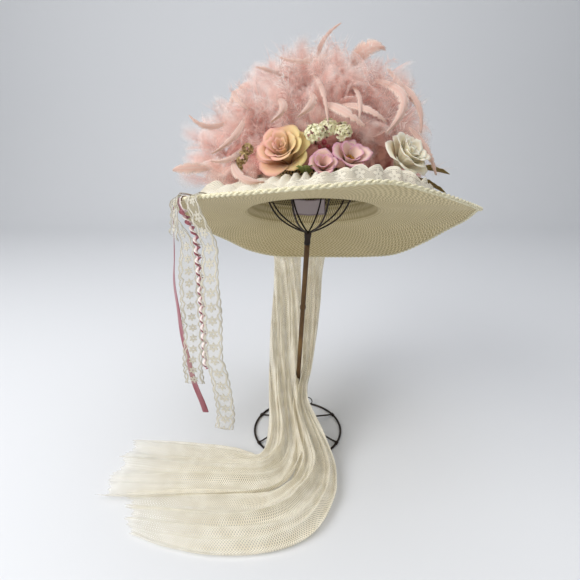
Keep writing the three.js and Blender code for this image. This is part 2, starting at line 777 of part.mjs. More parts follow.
function ruffleSolid() {
  const steps = 32;
  const first = ruffleRows[0].bearing;
  const last = ruffleRows[ruffleRows.length - 1].bearing;
  const grid = [];
  for (let i = 0; i <= steps; i += 1) {
    const bearing = first + ((last - first) * i) / steps;
    const angle = radians(bearing);
    const wave = Math.sin(i * 1.57) * 0.015;
    const share = roundTable(ruffleRows, 'share', bearing);
    const height = laceHeight * roundTable(ruffleRows, 'height', bearing) * (0.94 + 0.08 * Math.abs(Math.sin(i * 0.8)));
    const foot = brimPoint(angle, share, 0);
    const middle = brimPoint(angle, share + wave - 0.02, 0);
    const top = brimPoint(angle, share + wave * 2 - 0.05, 0);
    const floor = brimTop(foot.x, foot.y) + laceWall / 2 + clearance;
    grid.push([foot.setZ(floor), middle.setZ(floor + height * 0.5), top.setZ(floor + height)]);
  }
  return sheet(grid, laceWall);
}

piece(hat, 'lace_ruffle', ruffleSolid(), 0xf1eee2);

// Strips that lie on the brim, pass over its edge and hang. Places across the edge: out and up in millimetres.
function hangingStrip(row) {
  const angle = radians(row.bearing);
  const edge = brimPoint(angle, 1);
  const tangent = brimPoint(angle + 0.02, 1).sub(brimPoint(angle - 0.02, 1)).setZ(0).normalize();
  const outward = vec(tangent.y, -tangent.x, 0);
  const lift = row.wall / 2 + clearance * 2 + row.layer * (ribbonWall + clearance * 2);
  const over = braidRadius * 2 + clearance + lift;
  const crossing = [
    { out: -row.lap, up: strawWall / 2 + lift }, { out: -row.lap * 0.35, up: strawWall / 2 + lift },
    { out: clearance, up: braidRadius * 0.9 + lift }, { out: over - braidRadius, up: braidRadius + lift },
    { out: over + clearance, up: clearance }, { out: over + clearance * 2, up: -braidRadius * 2 },
  ];
  const columns = row.columns ?? 2;
  const sides = Array.from({ length: columns }, (_, j) => row.width * (j / (columns - 1) - 0.5));
  const grid = crossing.map((place) => sides.map((side) => {
    const point = edge.clone().addScaledVector(outward, place.out).addScaledVector(tangent, side);
    return toRoom(point.setZ(brimTop(point.x, point.y) - strawWall / 2 + place.up));
  }));
  const foot = crossing[crossing.length - 1];
  const start = toRoom(edge.clone().addScaledVector(outward, foot.out).add(vec(0, 0, foot.up)));
  const across = tangent.clone().transformDirection(hat.matrix);
  for (let i = 1; i <= row.steps; i += 1) {
    const share = i / row.steps;
    const fall = row.length * share;
    const centre = start.clone().add(vec(row.swayX * fall + row.bow * Math.sin(Math.PI * share), row.swayY * fall, -fall));
    const turn = row.twist * Math.max(share - (row.hold ?? 0), 0);
    const wide = across.clone().applyAxisAngle(upAxis, turn).setZ(0).normalize();
    const scallop = 1 + (row.scallop ?? 0) * (i % 2 ? 1 : -1);
    grid.push(sides.map((side) => centre.clone().addScaledVector(wide, side * scallop)));
  }
  return sheet(grid, row.wall);
}

const strips = [
  { name: 'satin_ribbon', bearing: 188, width: satinWidth, length: ribbonLength, lap: 26, layer: 0, steps: 14,
    swayX: 0.07, swayY: 0.02, bow: -8, twist: 1.4, wall: ribbonWall, color: 0x9a5560 },
  { name: 'lace_ribbon_1', bearing: 199, width: laceRibbonWidth, length: ribbonLength * 0.84, lap: 30, layer: 0,
    steps: 18, swayX: -0.05, swayY: 0.02, bow: 3, twist: 0.9, wall: laceWall, scallop: 0.06,
    color: 0xf3f1ea },
  { name: 'twisted_ribbon', bearing: 222, width: twistWidth, length: ribbonLength * 0.66, lap: 24, layer: 0, steps: 20,
    swayX: 0, swayY: 0, bow: 1, twist: 11, hold: 0.24, wall: ribbonWall, color: 0xa8707a },
  { name: 'lace_ribbon_2', bearing: 232, width: laceRibbonWidth, length: ribbonLength * 0.94, lap: 30, layer: 0,
    steps: 20, swayX: 0, swayY: 0, bow: 5, twist: -0.8, wall: laceWall, scallop: 0.06, color: 0xf3f1ea },
  { name: 'lace_panel', bearing: 218, width: laceRibbonWidth * 1.4, length: laceHeight * 1.2, lap: 36, layer: 1,
    steps: 4, swayX: -0.1, swayY: -0.08, bow: 0, twist: 0, wall: laceWall, columns: 3, scallop: 0.05, color: 0xf6f4ec },
];
for (const strip of strips) {
  piece(group, strip.name, hangingStrip(strip), strip.color, 0.7);
}

// Scarf tails: folded net from the back of the brim, forward past the post and out along the table.
// In the hanging rows `left` and `right` are shares of the tail's width from the post's foot, `back` and `height`
// are shares of the back edge's place. In the lying rows all places are shares of the tail's reach on the table.
const tailFolds = 6;
const leftTail = {
  hanging: [
    { left: -0.93, right: 0.15, back: 0.95, height: 0.84, fold: 0.8 },
    { left: -1.02, right: 0.07, back: 0.65, height: 0.7, fold: 0.95 },
    { left: -1.13, right: -0.04, back: 0.32, height: 0.54, fold: 1.15 },
    { left: -1.17, right: -0.2, back: 0.076, height: 0.41, fold: 1.3 },
    { left: -1.11, right: -0.48, back: -0.12, height: 0.316, fold: 1.6 },
    { left: -1.09, right: -0.12, back: -0.31, height: 0.158, fold: 1.4 },
  ],
  lying: [
    { inX: -0.2, inY: -0.235, outX: -0.012, outY: -0.33, fold: 1.15, lift: 0.012 },
    { inX: -0.232, inY: -0.245, outX: -0.068, outY: -0.47, fold: 1.1, lift: 0 },
    { inX: -0.29, inY: -0.235, outX: -0.222, outY: -0.53, fold: 1.1, lift: 0 },
    { inX: -0.39, inY: -0.207, outX: -0.39, outY: -0.537, fold: 1, lift: 0 },
    { inX: -0.57, inY: -0.178, outX: -0.59, outY: -0.541, fold: 0.95, lift: 0 },
    { inX: -0.77, inY: -0.136, outX: -0.79, outY: -0.548, fold: 0.85, lift: 0 },
    { inX: -0.97, inY: -0.096, outX: -0.985, outY: -0.548, fold: 0.7, lift: 0 },
  ],
};
const rightTail = {
  hanging: [
    { left: 0.43, right: 1.39, back: 0.95, height: 0.84, fold: 0.8 },
    { left: 0.37, right: 1.2, back: 0.65, height: 0.7, fold: 0.9 },
    { left: 0.3, right: 1.0, back: 0.32, height: 0.54, fold: 1 },
    { left: 0.26, right: 0.8, back: 0.054, height: 0.403, fold: 1.1 },
    { left: 0.12, right: 0.66, back: -0.08, height: 0.356, fold: 1.1 },
    { left: -0.36, right: 0.2, back: -0.17, height: 0.3, fold: 1.3 },
    { left: 0.0, right: 0.96, back: -0.325, height: 0.154, fold: 1.3 },
  ],
  lying: [
    { inX: 0.014, inY: -0.343, outX: 0.186, outY: -0.33, fold: 1.1, lift: 0.012 },
    { inX: -0.028, inY: -0.493, outX: 0.186, outY: -0.45, fold: 1.1, lift: 0 },
    { inX: -0.107, inY: -0.54, outX: 0.164, outY: -0.565, fold: 1.1, lift: 0 },
    { inX: -0.18, inY: -0.55, outX: 0.05, outY: -0.72, fold: 1, lift: 0 },
    { inX: -0.286, inY: -0.556, outX: -0.143, outY: -0.79, fold: 1, lift: 0 },
    { inX: -0.43, inY: -0.558, outX: -0.393, outY: -0.793, fold: 0.95, lift: 0 },
    { inX: -0.59, inY: -0.56, outX: -0.607, outY: -0.743, fold: 0.85, lift: 0 },
    { inX: -0.85, inY: -0.566, outX: -0.77, outY: -0.68, fold: 0.7, lift: 0 },
  ],
};

const backEdge = toRoom(brimPoint(full / 4, 1));

function tailSolid(tail) {
  const rows = [];
  const sideOf = (row) => [row.left * tailWidth + postFoot / 5, row.right * tailWidth + postFoot / 5];
  const [startLeft, startRight] = sideOf(tail.hanging[0]);
  const rest = tailFold * tail.hanging[0].fold;
  const clear = rest / 2 + netWall / 2 + clearance * 3;
  for (const share of [0.4, 0.7, 0.94]) {
    const depth = collarB + (brimBack - collarB) * share;
    const points = Array.from({ length: tailFolds + 1 }, (_, j) => {
      const x = startLeft + ((startRight - startLeft) * j) / tailFolds - hatShift;
      return toRoom(vec(x, depth, brimTop(x, depth) + clear + (rest / 2) * (j % 2 ? 1 : -1)));
    });
    rows.push({ ends: [points[0], points[tailFolds]], points });
  }
  const turns = [{ back: 8, up: clear + braidRadius }, { back: clear + 5, up: -1 }, { back: clear + 6, up: -14 },
    { back: clear - 3, up: -29 }];
  for (const turn of turns) {
    const ends = [startLeft, startRight].map((x) => vec(x, backEdge.y + turn.back, backEdge.z + turn.up));
    rows.push({ ends, fold: rest });
  }
  for (const row of tail.hanging) {
    const ends = sideOf(row).map((x) => vec(x, row.back * backEdge.y, row.height * backEdge.z));
    rows.push({ ends, fold: tailFold * row.fold });
  }
  for (const row of tail.lying) {
    const fold = tailFold * row.fold;
    const height = fold / 2 + netWall / 2 + clearance + row.lift * tailReach;
    rows.push({
      ends: [vec(row.inX * tailReach, row.inY * tailReach, height), vec(row.outX * tailReach, row.outY * tailReach, height)],
      fold,
    });
  }
  const centres = rows.map((row) => row.ends[0].clone().lerp(row.ends[1], 0.5));
  const grid = rows.map((row, i) => {
    if (row.points) {
      return row.points;
    }
    const along = centres[Math.min(i + 1, rows.length - 1)].clone().sub(centres[Math.max(i - 1, 0)]);
    const across = row.ends[1].clone().sub(row.ends[0]);
    const normal = across.cross(along).normalize();
    return Array.from({ length: tailFolds + 1 }, (_, j) => row.ends[0].clone().lerp(row.ends[1], j / tailFolds)
      .addScaledVector(normal, (row.fold / 2) * (j % 2 ? 1 : -1)));
  });
  return sheet(grid, netWall);
}

piece(group, 'net_scarf_tail_left', tailSolid(leftTail), 0xd9d2b4);
piece(group, 'net_scarf_tail_right', tailSolid(rightTail), 0xd4ccab);

// Wire stand: a ring on six legs, a leaning post and a cage of wires that carries the crown
const postPoint = (height) => vec(postFoot + (postLean * height) / postHeight, 0, height);
const flatHex = (radius) => Array.from({ length: 6 }, (_, j) => [Math.cos((full * j) / 6) * radius,
  Math.sin((full * j) / 6) * radius + radius * Math.sin(full / 6)]);

// The ring's sections between two legs, in shares of the way: the wire is thicker where a leg is wound on
const ringSections = [{ share: 0, wire: knotWire }, { share: 0.08, wire: ringWire }, { share: 0.3, wire: ringWire },
  { share: 0.5, wire: ringWire }, { share: 0.7, wire: ringWire }, { share: 0.92, wire: ringWire }];

function standBase() {
  const hub = postPoint(hubHeight);
  const sections = [];
  const legs = [];
  for (let i = 0; i < legCount; i += 1) {
    for (const row of ringSections) {
      const angle = (full * (i + 0.5 + row.share)) / legCount;
      sections.push(flatHex(row.wire).map(([out, up]) => vec(Math.cos(angle) * (ringRadius + out),
        Math.sin(angle) * (ringRadius + out), up)));
    }
    const angle = (full * (i + 0.5)) / legCount;
    const foot = vec(Math.cos(angle) * ringRadius, Math.sin(angle) * ringRadius, knotWire);
    const along = (share, height) => foot.clone().lerp(vec(hub.x, 0, 0), share).setZ(height);
    legs.push(bar([foot, along(0.3, hubHeight * 0.3), along(0.7, hubHeight * 0.62), along(0.95, hubHeight * 0.8)],
      () => legWire, 4, 3));
  }
  const boss = loft([oval(hubRadius * 0.5, hubRadius * 0.5, -hubHeight * 0.4, 8),
    oval(hubRadius, hubRadius, -hubHeight * 0.25, 8), oval(hubRadius * 0.75, hubRadius * 0.75, 0, 8)]);
  return joined([loft(sections, true), boss.translate(hub.x, 0, hubHeight), ...legs]);
}

piece(group, 'stand_base', geometryOf(standBase()), 0x1d1a18, 0.5, 0.6);

const ferruleFoot = postHeight - ferruleLength;
piece(group, 'stand_post', bar([postPoint(hubHeight + clearance * 2), postPoint(postHeight / 2),
  postPoint(ferruleFoot - clearance)], () => postRadius, 8, 2), 0x4a3a26, 0.5, 0.4);

// Wires of the cage from the ferrule to its top, as shares of the cage's radius and height
const cageProfile = [
  { out: 0.05, up: 0 }, { out: 0.5, up: 0.115 }, { out: 0.72, up: 0.21 }, { out: 0.9, up: 0.36 },
  { out: 1, up: 0.57 }, { out: 0.88, up: 0.78 }, { out: 0.56, up: 0.94 }, { out: 0.04, up: 1 },
];

function insideCrown(point) {
  const local = point.clone().applyMatrix4(hat.matrix.clone().invert());
  const inner = ovalRadius(headA - strawWall, headB - strawWall, Math.atan2(local.y, local.x));
  const share = domeShare(local.z, crownHeight - strawWall) * Math.cos(full / roundSteps / 2);
  return local.z < crownHeight - strawWall && Math.hypot(local.x, local.y) < inner * share;
}

function cagePoint(row, angle, height) {
  return postPoint(postHeight).add(vec(Math.cos(angle) * row.out * cageRadius, Math.sin(angle) * row.out * cageRadius,
    row.up * height));
}

// The tallest cage that stays clear under the crown
function cageHeight() {
  const reach = cageWire * 1.6 + clearance;
  const angles = Array.from({ length: cageWires }, (_, i) => (full * (i + 0.5)) / cageWires);
  const around = [vec(reach, 0, 0), vec(-reach, 0, 0), vec(0, reach, 0), vec(0, -reach, 0), vec(0, 0, reach)];
  const clearAt = (height) => cageProfile.every((row) => angles.every((angle) => {
    const point = cagePoint(row, angle, height);
    return row.up < 0.4 || around.every((step) => insideCrown(point.clone().add(step)));
  }));
  let height = crownHeight * 2;
  while (height > crownHeight / 2 && !clearAt(height)) {
    height -= clearance / 2;
  }
  return height;
}

function cageSolid() {
  const height = cageHeight();
  const top = postPoint(postHeight).setZ(postHeight + height);
  const parts = [
    bar([postPoint(ferruleFoot), postPoint(postHeight - ferruleLength / 2), postPoint(postHeight + cageWire)],
      () => ferruleRadius, 8, 2),
    bar([top.clone().setZ(top.z - cageWire * 2), top, top.clone().setZ(top.z + cageWire)], () => cageWire * 4, 8, 1),
  ];
  for (let i = 0; i < cageWires; i += 1) {
    const angle = (full * (i + 0.5)) / cageWires;
    parts.push(bar(cageProfile.map((row) => cagePoint(row, angle, height)), () => cageWire, 4, 7));
  }
  return joined(parts);
}

piece(group, 'stand_cage', geometryOf(cageSolid()), 0x1d1a18, 0.5, 0.6);

// Origin under the middle of the whole, on the table
const bounds = new THREE.Box3().setFromObject(group, true);
group.position.set(-(bounds.min.x + bounds.max.x) / 2, -(bounds.min.y + bounds.max.y) / 2, -bounds.min.z);

export default group;
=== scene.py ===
import math
import bpy
import numpy as np
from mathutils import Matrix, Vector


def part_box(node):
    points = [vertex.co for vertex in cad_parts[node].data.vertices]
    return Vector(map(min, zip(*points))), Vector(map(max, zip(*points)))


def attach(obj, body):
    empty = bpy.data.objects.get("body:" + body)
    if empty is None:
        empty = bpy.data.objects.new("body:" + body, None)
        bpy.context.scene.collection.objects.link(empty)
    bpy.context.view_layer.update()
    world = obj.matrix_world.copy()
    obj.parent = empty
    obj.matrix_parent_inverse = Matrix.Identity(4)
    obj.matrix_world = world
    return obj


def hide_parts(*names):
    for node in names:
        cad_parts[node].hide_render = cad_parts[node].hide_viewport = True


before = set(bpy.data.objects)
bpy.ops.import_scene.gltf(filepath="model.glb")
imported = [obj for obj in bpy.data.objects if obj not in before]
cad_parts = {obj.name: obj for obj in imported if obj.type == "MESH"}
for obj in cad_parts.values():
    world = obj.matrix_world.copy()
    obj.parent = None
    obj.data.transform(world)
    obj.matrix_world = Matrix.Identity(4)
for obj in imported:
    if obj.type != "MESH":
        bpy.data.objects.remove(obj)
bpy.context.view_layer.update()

print("frame loaded:", len(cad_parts), "nodes")

# The shapes below are worked out in millimetres from the middle of the stand's ring, on the table
ringLow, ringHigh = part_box("stand_base")
origin = np.array([(ringLow.x + ringHigh.x) / 2, (ringLow.y + ringHigh.y) / 2, 0.0]) * 1000
fullTurn = 2 * math.pi
goldenTurn = 2.39996  # radians from one floret of a head to the next

camera = {"place": (-12.8, -600, 487), "pitch": 21.15, "lens": 26.69}
studio = {"floor": "#dfe0e2", "world": "#d5d9de", "worldPower": 0.46, "reach": 6000, "sweep": 700,
          "wall": 1500, "rise": 2500}


# small tools

def hexColor(text):
    values = [int(text[i:i + 2], 16) / 255 for i in (1, 3, 5)]
    return [c / 12.92 if c <= 0.04045 else ((c + 0.055) / 1.055) ** 2.4 for c in values] + [1.0]


def setInputs(node, inputs):
    # a number or a colour is set, a socket is linked, and a node is linked by its first output
    for key, value in inputs.items() if isinstance(inputs, dict) else enumerate(inputs):
        if isinstance(value, bpy.types.Node):
            value = value.outputs[0]
        if isinstance(value, bpy.types.NodeSocket):
            node.id_data.links.new(value, node.inputs[key])
        else:
            node.inputs[key].default_value = value


def addNode(tree, kind, inputs=(), operation=None, stops=(), **settings):
    # operation is a Math node's, which adds without one; stops are the places and colours of a ramp
    node = tree.nodes.new("ShaderNode" + kind)
    if operation:
        node.operation = operation
    for key, value in settings.items():
        setattr(node, key, value)
    if stops:
        elements = node.color_ramp.elements
        while len(elements) < len(stops):
            elements.new(0.5)
        for element, (place, color) in zip(elements, stops):
            element.position = place
            element.color = hexColor(color)
    setInputs(node, inputs)
    return node


def newMaterial(name, color, roughness, extra=None):
    material = bpy.data.materials.new(name)
    material.use_nodes = True
    tree = material.node_tree
    shader = tree.nodes["Principled BSDF"]
    setInputs(shader, {"Base Color": hexColor(color), "Roughness": roughness, **(extra or {})})
    return material, tree, shader


def uvPlace(tree):
    # u and v of the piece's own map
    return addNode(tree, "SeparateXYZ", [addNode(tree, "UVMap")]).outputs[:2]


def mottledMaterial(name, color, roughness, scale, detail, stops=(), bump=(), extra=None, stretch=None):
    # wear, fuzz or blotches: one noise over the piece gives the colour and the relief
    material, tree, shader = newMaterial(name, color, roughness, extra)
    place = addNode(tree, "TexCoord").outputs["Object"]
    if stretch:
        place = addNode(tree, "Mapping", {"Vector": place, "Scale": stretch})
    noise = addNode(tree, "TexNoise", {"Vector": place, "Scale": scale, "Detail": detail})
    if stops:
        setInputs(shader, {"Base Color": addNode(tree, "ValToRGB", [noise], stops=stops)})
    if bump:
        relief = addNode(tree, "Bump", {"Height": noise, "Strength": bump[0], "Distance": bump[1]})
        setInputs(shader, {"Normal": relief})
    return material


def letLightThrough(shader, color, share, cover=None):
    # thin cloth, petals and down glow with the light behind them, and let it pass freely where cover is 0
    tree = shader.id_data
    surface = addNode(tree, "MixShader", [share, shader, addNode(tree, "BsdfTranslucent", [color])])
    if cover:
        surface = addNode(tree, "MixShader", [cover, addNode(tree, "BsdfTransparent"), surface])
    setInputs(tree.nodes["Material Output"], [surface])


def deselectAll():
    if bpy.context.object and bpy.context.object.mode != "OBJECT":
        bpy.ops.object.mode_set(mode="OBJECT")
    bpy.ops.object.select_all(action="DESELECT")


def pickOne(piece):
    deselectAll()
    piece.select_set(True)
    bpy.context.view_layer.objects.active = piece


def setPoints(piece, points):
    piece.data.vertices.foreach_set("co", ((points + origin) / 1000).astype(np.float32).ravel())
    piece.data.update()


def gridPiece(name, columns, rows, shape):
    # a flat grid whose points are moved to where shape(u, v) says
    deselectAll()
    bpy.ops.mesh.primitive_grid_add(x_subdivisions=columns, y_subdivisions=rows, size=2)
    piece = bpy.context.object
    piece.name = piece.data.name = name
    flat = np.empty(len(piece.data.vertices) * 3)
    piece.data.vertices.foreach_get("co", flat)
    flat = flat.reshape(-1, 3)
    setPoints(piece, shape((flat[:, 0] + 1) / 2, (flat[:, 1] + 1) / 2))
    return piece


def sealSeams(piece, gap=0.00002, fill=False):
    pickOne(piece)
    bpy.ops.object.mode_set(mode="EDIT")
    bpy.ops.mesh.select_all(action="SELECT")
    bpy.ops.mesh.remove_doubles(threshold=gap)
    if fill:
        bpy.ops.mesh.select_all(action="DESELECT")
        bpy.ops.mesh.select_non_manifold(extend=False)
        bpy.ops.mesh.edge_face_add()
        bpy.ops.mesh.select_all(action="SELECT")
    bpy.ops.mesh.normals_make_consistent(inside=False)
    bpy.ops.object.mode_set(mode="OBJECT")


def applyModifier(piece, kind, **settings):
    pickOne(piece)
    modifier = piece.modifiers.new(kind.title(), kind)
    for key, value in settings.items():
        setattr(modifier, key, value)
    bpy.ops.object.modifier_apply(modifier=modifier.name)


def giveWall(piece, wall, offset=0.0):
    applyModifier(piece, "SOLIDIFY", thickness=wall / 1000, offset=offset, use_even_offset=False)


def arrayPiece(name, points, faces, uv=None):
    # many small things as one mesh
    mesh = bpy.data.meshes.new(name)
    mesh.from_pydata(((points + origin) / 1000).tolist(), [], faces.tolist())
    if uv is not None:
        layer = mesh.uv_layers.new(name="UVMap")
        layer.data.foreach_set("uv", uv[faces.ravel()].astype(np.float32).ravel())
    mesh.update()
    piece = bpy.data.objects.new(name, mesh)
    bpy.context.scene.collection.objects.link(piece)
    return piece


def finishPiece(piece, material, nodes=(), smooth=True):
    piece.data.materials.clear()
    piece.data.materials.append(material)
    if smooth:
        piece.data.polygons.foreach_set("use_smooth", [True] * len(piece.data.polygons))
    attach(piece, "root")
    if nodes:
        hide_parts(*nodes)
    return piece


def joinPieces(pieces, name):
    deselectAll()
    for piece in pieces:
        piece.select_set(True)
    bpy.context.view_layer.objects.active = pieces[0]
    bpy.ops.object.join()
    joined = bpy.context.object
    joined.name = joined.data.name = name
    return joined


def unit(vectors):
    return vectors / np.maximum(np.linalg.norm(vectors, axis=-1, keepdims=True), 1e-9)


def roundPoints(angle, radius, height):
    return np.stack([np.cos(angle) * radius, np.sin(angle) * radius, height], -1)


def ease(a, b, c, d, t):
    # smooth curve from b to c, where a comes before them and d after
    return b + t * ((c - a) / 2 + t * (a - 2.5 * b + 2 * c - d / 2 + t * (1.5 * (b - c) + (d - a) / 2)))


def spline(rows, shares):
    # smooth curve through the rows of a table, at shares from 0 to 1
    rows = np.asarray(rows, float)
    place = np.clip(shares, 0, 1) * (len(rows) - 1)
    k = np.minimum(place.astype(int), len(rows) - 2)
    t = (place - k)[:, None]
    return ease(*(rows[np.clip(k + n, 0, len(rows) - 1)] for n in (-1, 0, 1, 2)), t)


def tubePiece(name, path, radius, sides=8, steps=60, closed=False):
    # a round bar along a smooth path: a grid wrapped round it, with closed ends
    path = np.asarray(path, float)
    shares = np.linspace(0, 1, steps + 1)
    centres = spline(path, shares)
    if closed:
        centres = path[np.linspace(0, len(path) - 1, steps + 1).round().astype(int)]
    along = unit(np.gradient(centres, axis=0))
    if closed:
        along[0] = along[-1] = unit(centres[1] - centres[-2])
    side = unit(np.cross(along, [0.31, 0.52, 0.8]))
    other = np.cross(along, side)
    thick = np.broadcast_to(radius(shares) if callable(radius) else radius, shares.shape)

    def shape(u, v):
        k = (v * steps).round().astype(int)
        turn = (u * fullTurn)[:, None]
        return centres[k] + (np.cos(turn) * side[k] + np.sin(turn) * other[k]) * thick[k][:, None]

    piece = gridPiece(name, sides, steps, shape)
    sealSeams(piece, fill=not closed)
    return piece


# camera and studio

bpy.ops.object.camera_add(location=(np.array(camera["place"]) + origin) / 1000,
                          rotation=(math.radians(90 - camera["pitch"]), 0, 0))
view = bpy.context.object
view.name = "photo_camera"
view.data.lens = camera["lens"]
view.data.sensor_width = 36
view.data.clip_start = 0.01
bpy.context.scene.camera = view


def floorShape(u, v):
    # flat floor that rises in one soft bend behind the hat
    level = studio["wall"] + studio["reach"]
    sweep = studio["sweep"]
    run = v * (level + sweep * math.pi / 2 + studio["rise"])
    bend = np.clip((run - level) / sweep, 0, math.pi / 2)
    rest = np.maximum(run - level - sweep * math.pi / 2, 0)
    depth = np.minimum(run, level) - studio["reach"] + np.sin(bend) * sweep
    return np.stack([(u - 0.5) * studio["reach"] * 2, depth, (1 - np.cos(bend)) * sweep + rest], 1)


backdrop = gridPiece("studio_floor", 8, 160, floorShape)
# matte paper: even and pale, with only the faintest grain
paper = mottledMaterial("matte studio paper", studio["floor"], 0.75, 300.0, 3.0, bump=(0.15, 0.0004),
                        extra={"Specular IOR Level": 0.2})
backdrop.data.materials.append(paper)
pickOne(backdrop)
bpy.ops.object.shade_smooth()

world = bpy.data.worlds.new("soft room")
world.use_nodes = True
world.node_tree.nodes["Background"].inputs[0].default_value = hexColor(studio["world"])
world.node_tree.nodes["Background"].inputs[1].default_value = studio["worldPower"]
bpy.context.scene.world = world

lamps = {
    "window": {"place": (-1500, -900, 1500), "aim": 350, "size": 1600, "power": 42, "color": "#ffffff"},
    "ceiling": {"place": (300, -200, 2300), "aim": 200, "size": 2200, "power": 24, "color": "#fbfcff"},
    "fill": {"place": (1300, -1500, 500), "aim": 350, "size": 1500, "power": 4, "color": "#fff8f0"},
}
for name, lamp in lamps.items():
    place = np.array(lamp["place"], float)
    aim = unit([0, 0, lamp["aim"]] - place)
    tilt = math.acos(-aim[2])
    bpy.ops.object.light_add(type="AREA", location=(place + origin) / 1000,
                             rotation=(tilt, 0, math.atan2(aim[1], aim[0]) - math.pi / 2))
    light = bpy.context.object
    light.name = name + "_light"
    light.data.size = lamp["size"] / 1000
    light.data.energy = lamp["power"]
    light.data.color = hexColor(lamp["color"])[:3]
bpy.context.scene.view_settings.view_transform = "Standard"
print("camera and studio ready")


# straw hat: the same tables and sizes as the solids

hat = {"tilt": 20.5, "shift": 18, "lift": 370, "headA": 89.5, "headB": 102, "crown": 105, "square": 2.7,
       "wall": 2, "right": 212, "left": 180, "front": 222, "back": 214, "droop": 47, "curve": 1.25, "bend": 9}
edgeRise = np.array([-0.19, -0.34, -0.66, -0.96, -1.0, -0.98, -0.96, -0.95, -0.77, -0.45, -0.26, -0.13,
                     0.06, 0.03, -0.06, -0.17, -0.28, -0.34, -0.29, -0.17, -0.28, -0.34, -0.28, -0.09])
tiltCos, tiltSin = math.cos(math.radians(hat["tilt"])), math.sin(math.radians(hat["tilt"]))


def toRoom(points):
    points = np.asarray(points, float)
    x, y, z = points[..., 0], points[..., 1], points[..., 2]
    back, up = y * tiltCos + z * tiltSin, z * tiltCos - y * tiltSin
    return np.stack([x + hat["shift"], back, up + hat["lift"]], -1)


def turnToRoom(vectors):
    return toRoom(vectors) - toRoom([0, 0, 0])


def ovalRadius(a, b, angle):
    return 1 / np.hypot(np.cos(angle) / a, np.sin(angle) / b)


def edgeHeight(angle):
    # height of the brim's edge round the hat, eased between the rows of the table
    place = (np.asarray(angle) / fullTurn * len(edgeRise)) % len(edgeRise)
    k = place.astype(int)
    return ease(*(edgeRise[(k + n) % len(edgeRise)] for n in (-1, 0, 1, 2)), place - k) * hat["droop"]


def brimAt(angle, share):
    inner = ovalRadius(hat["headA"] + 0.3, hat["headB"] + 0.3, angle)
    reach = ovalRadius(np.where(np.cos(angle) > 0, hat["right"], hat["left"]),
                       np.where(np.sin(angle) > 0, hat["back"], hat["front"]), angle)
    radius = inner + (reach - inner) * share
    return roundPoints(angle, radius, edgeHeight(angle) * np.maximum(share, 0) ** hat["curve"])


def crownAt(angle, lift, gap=0.0):
    # lift runs from 0 at the headline to 1 at the top
    power = 2 / hat["square"]
    phi = lift * math.pi / 2
    share = np.maximum(np.cos(phi), 0) ** power
    radius = ovalRadius(hat["headA"] - gap, hat["headB"] - gap, angle) * share
    return roundPoints(angle, radius, (hat["crown"] - gap) * np.sin(phi) ** power)


def crownShare(lift):
    # how far the crown's wall has come in at a share of its height
    return (1 - lift ** hat["square"]) ** (1 / hat["square"])


strawRows = 52
brimShare = 30 / 52  # of the rows that lie on the brim


def strawShape(u, v):
    # from the brim's edge in to the headline, round a soft bend and up over the crown
    angle = u * fullTurn
    share = 1 - np.clip(v / brimShare, 0, 1)
    lift = np.clip((v - brimShare) / (1 - brimShare), 0, 1) ** 0.8
    onBrim = brimAt(angle, share)
    onCrown = crownAt(angle, lift, hat["wall"] / 2)
    # soft bend: near the headline the straw leaves the brim's line and turns up into the crown
    near = np.clip(1 - share * 120 / hat["bend"], 0, 1) * (v <= brimShare)
    onBrim[:, 2] += near ** 2 * hat["bend"] * 0.22
    climb = np.clip(1 - onCrown[:, 2] / (hat["bend"] * 1.6), 0, 1)
    flare = roundPoints(angle, climb ** 2 * hat["bend"] * 0.2, 0 * angle)
    onCrown[:, 2] += hat["bend"] * 0.22 * climb
    return toRoom(np.where((v <= brimShare)[:, None], onBrim, onCrown + flare))


strawHat = gridPiece("straw_hat", 180, strawRows, strawShape)
layer = strawHat.data.uv_layers.active.data
uv = np.empty(len(layer) * 2, np.float32)
layer.foreach_get("uv", uv)
uv = uv.reshape(-1, 2)
past = brimShare - uv[:, 1]
# metres out, minus up the crown
uv[:, 1] = np.where(past > 0, past / brimShare * 0.12, past / (1 - brimShare) * 0.19)
layer.foreach_set("uv", uv.ravel())
sealSeams(strawHat)
giveWall(strawHat, hat["wall"] * 0.8)

# Plaited seagrass straw: rows of slanted strokes that turn back at each row, so the light runs in chevrons.
# The rows are drawn 4.2 mm wide, about twice the real ones, so that they show. The crown is an open lattice.
straw = {"light": "#eddfb6", "middle": "#cdbc8d", "dark": "#978658", "row": 0.0042, "strokes": 170.0,
         "crown": [(0.48, "#2c2114"), (0.66, "#6e5f3a"), (0.92, "#ad9d6e")], "lattice": 150,
         "latticeRow": 0.0052}
strawMaterial, tree, shader = newMaterial("woven straw", straw["light"], 0.72, {"Sheen Weight": 0.1})
around, outward = uvPlace(tree)
place = addNode(tree, "TexCoord").outputs["Object"]
zigzag = addNode(tree, "Math", [outward, 1.0])
zigzag = addNode(tree, "Math", [zigzag, straw["row"]], "PINGPONG")
zigzag = addNode(tree, "Math", [zigzag, straw["row"]], "DIVIDE")
wobble = addNode(tree, "TexNoise", {"Vector": place, "Scale": 60.0, "Detail": 2.0})
phase = addNode(tree, "Math", [around, straw["strokes"], zigzag], "MULTIPLY_ADD")
phase = addNode(tree, "Math", [wobble, 0.8, phase], "MULTIPLY_ADD")
phase = addNode(tree, "Math", [phase, fullTurn], "MULTIPLY")
stroke = addNode(tree, "Math", [addNode(tree, "Math", [phase], "SINE"), 0.5, 0.5], "MULTIPLY_ADD")
seam = addNode(tree, "Math", [addNode(tree, "Math", [zigzag, math.pi], "MULTIPLY")], "SINE")
seam = addNode(tree, "Math", [seam, 0.6, 0.4], "MULTIPLY_ADD")
brimHeight = addNode(tree, "Math", [stroke, seam], "MULTIPLY")
slant = addNode(tree, "Math", [outward, fullTurn / straw["latticeRow"]], "MULTIPLY")
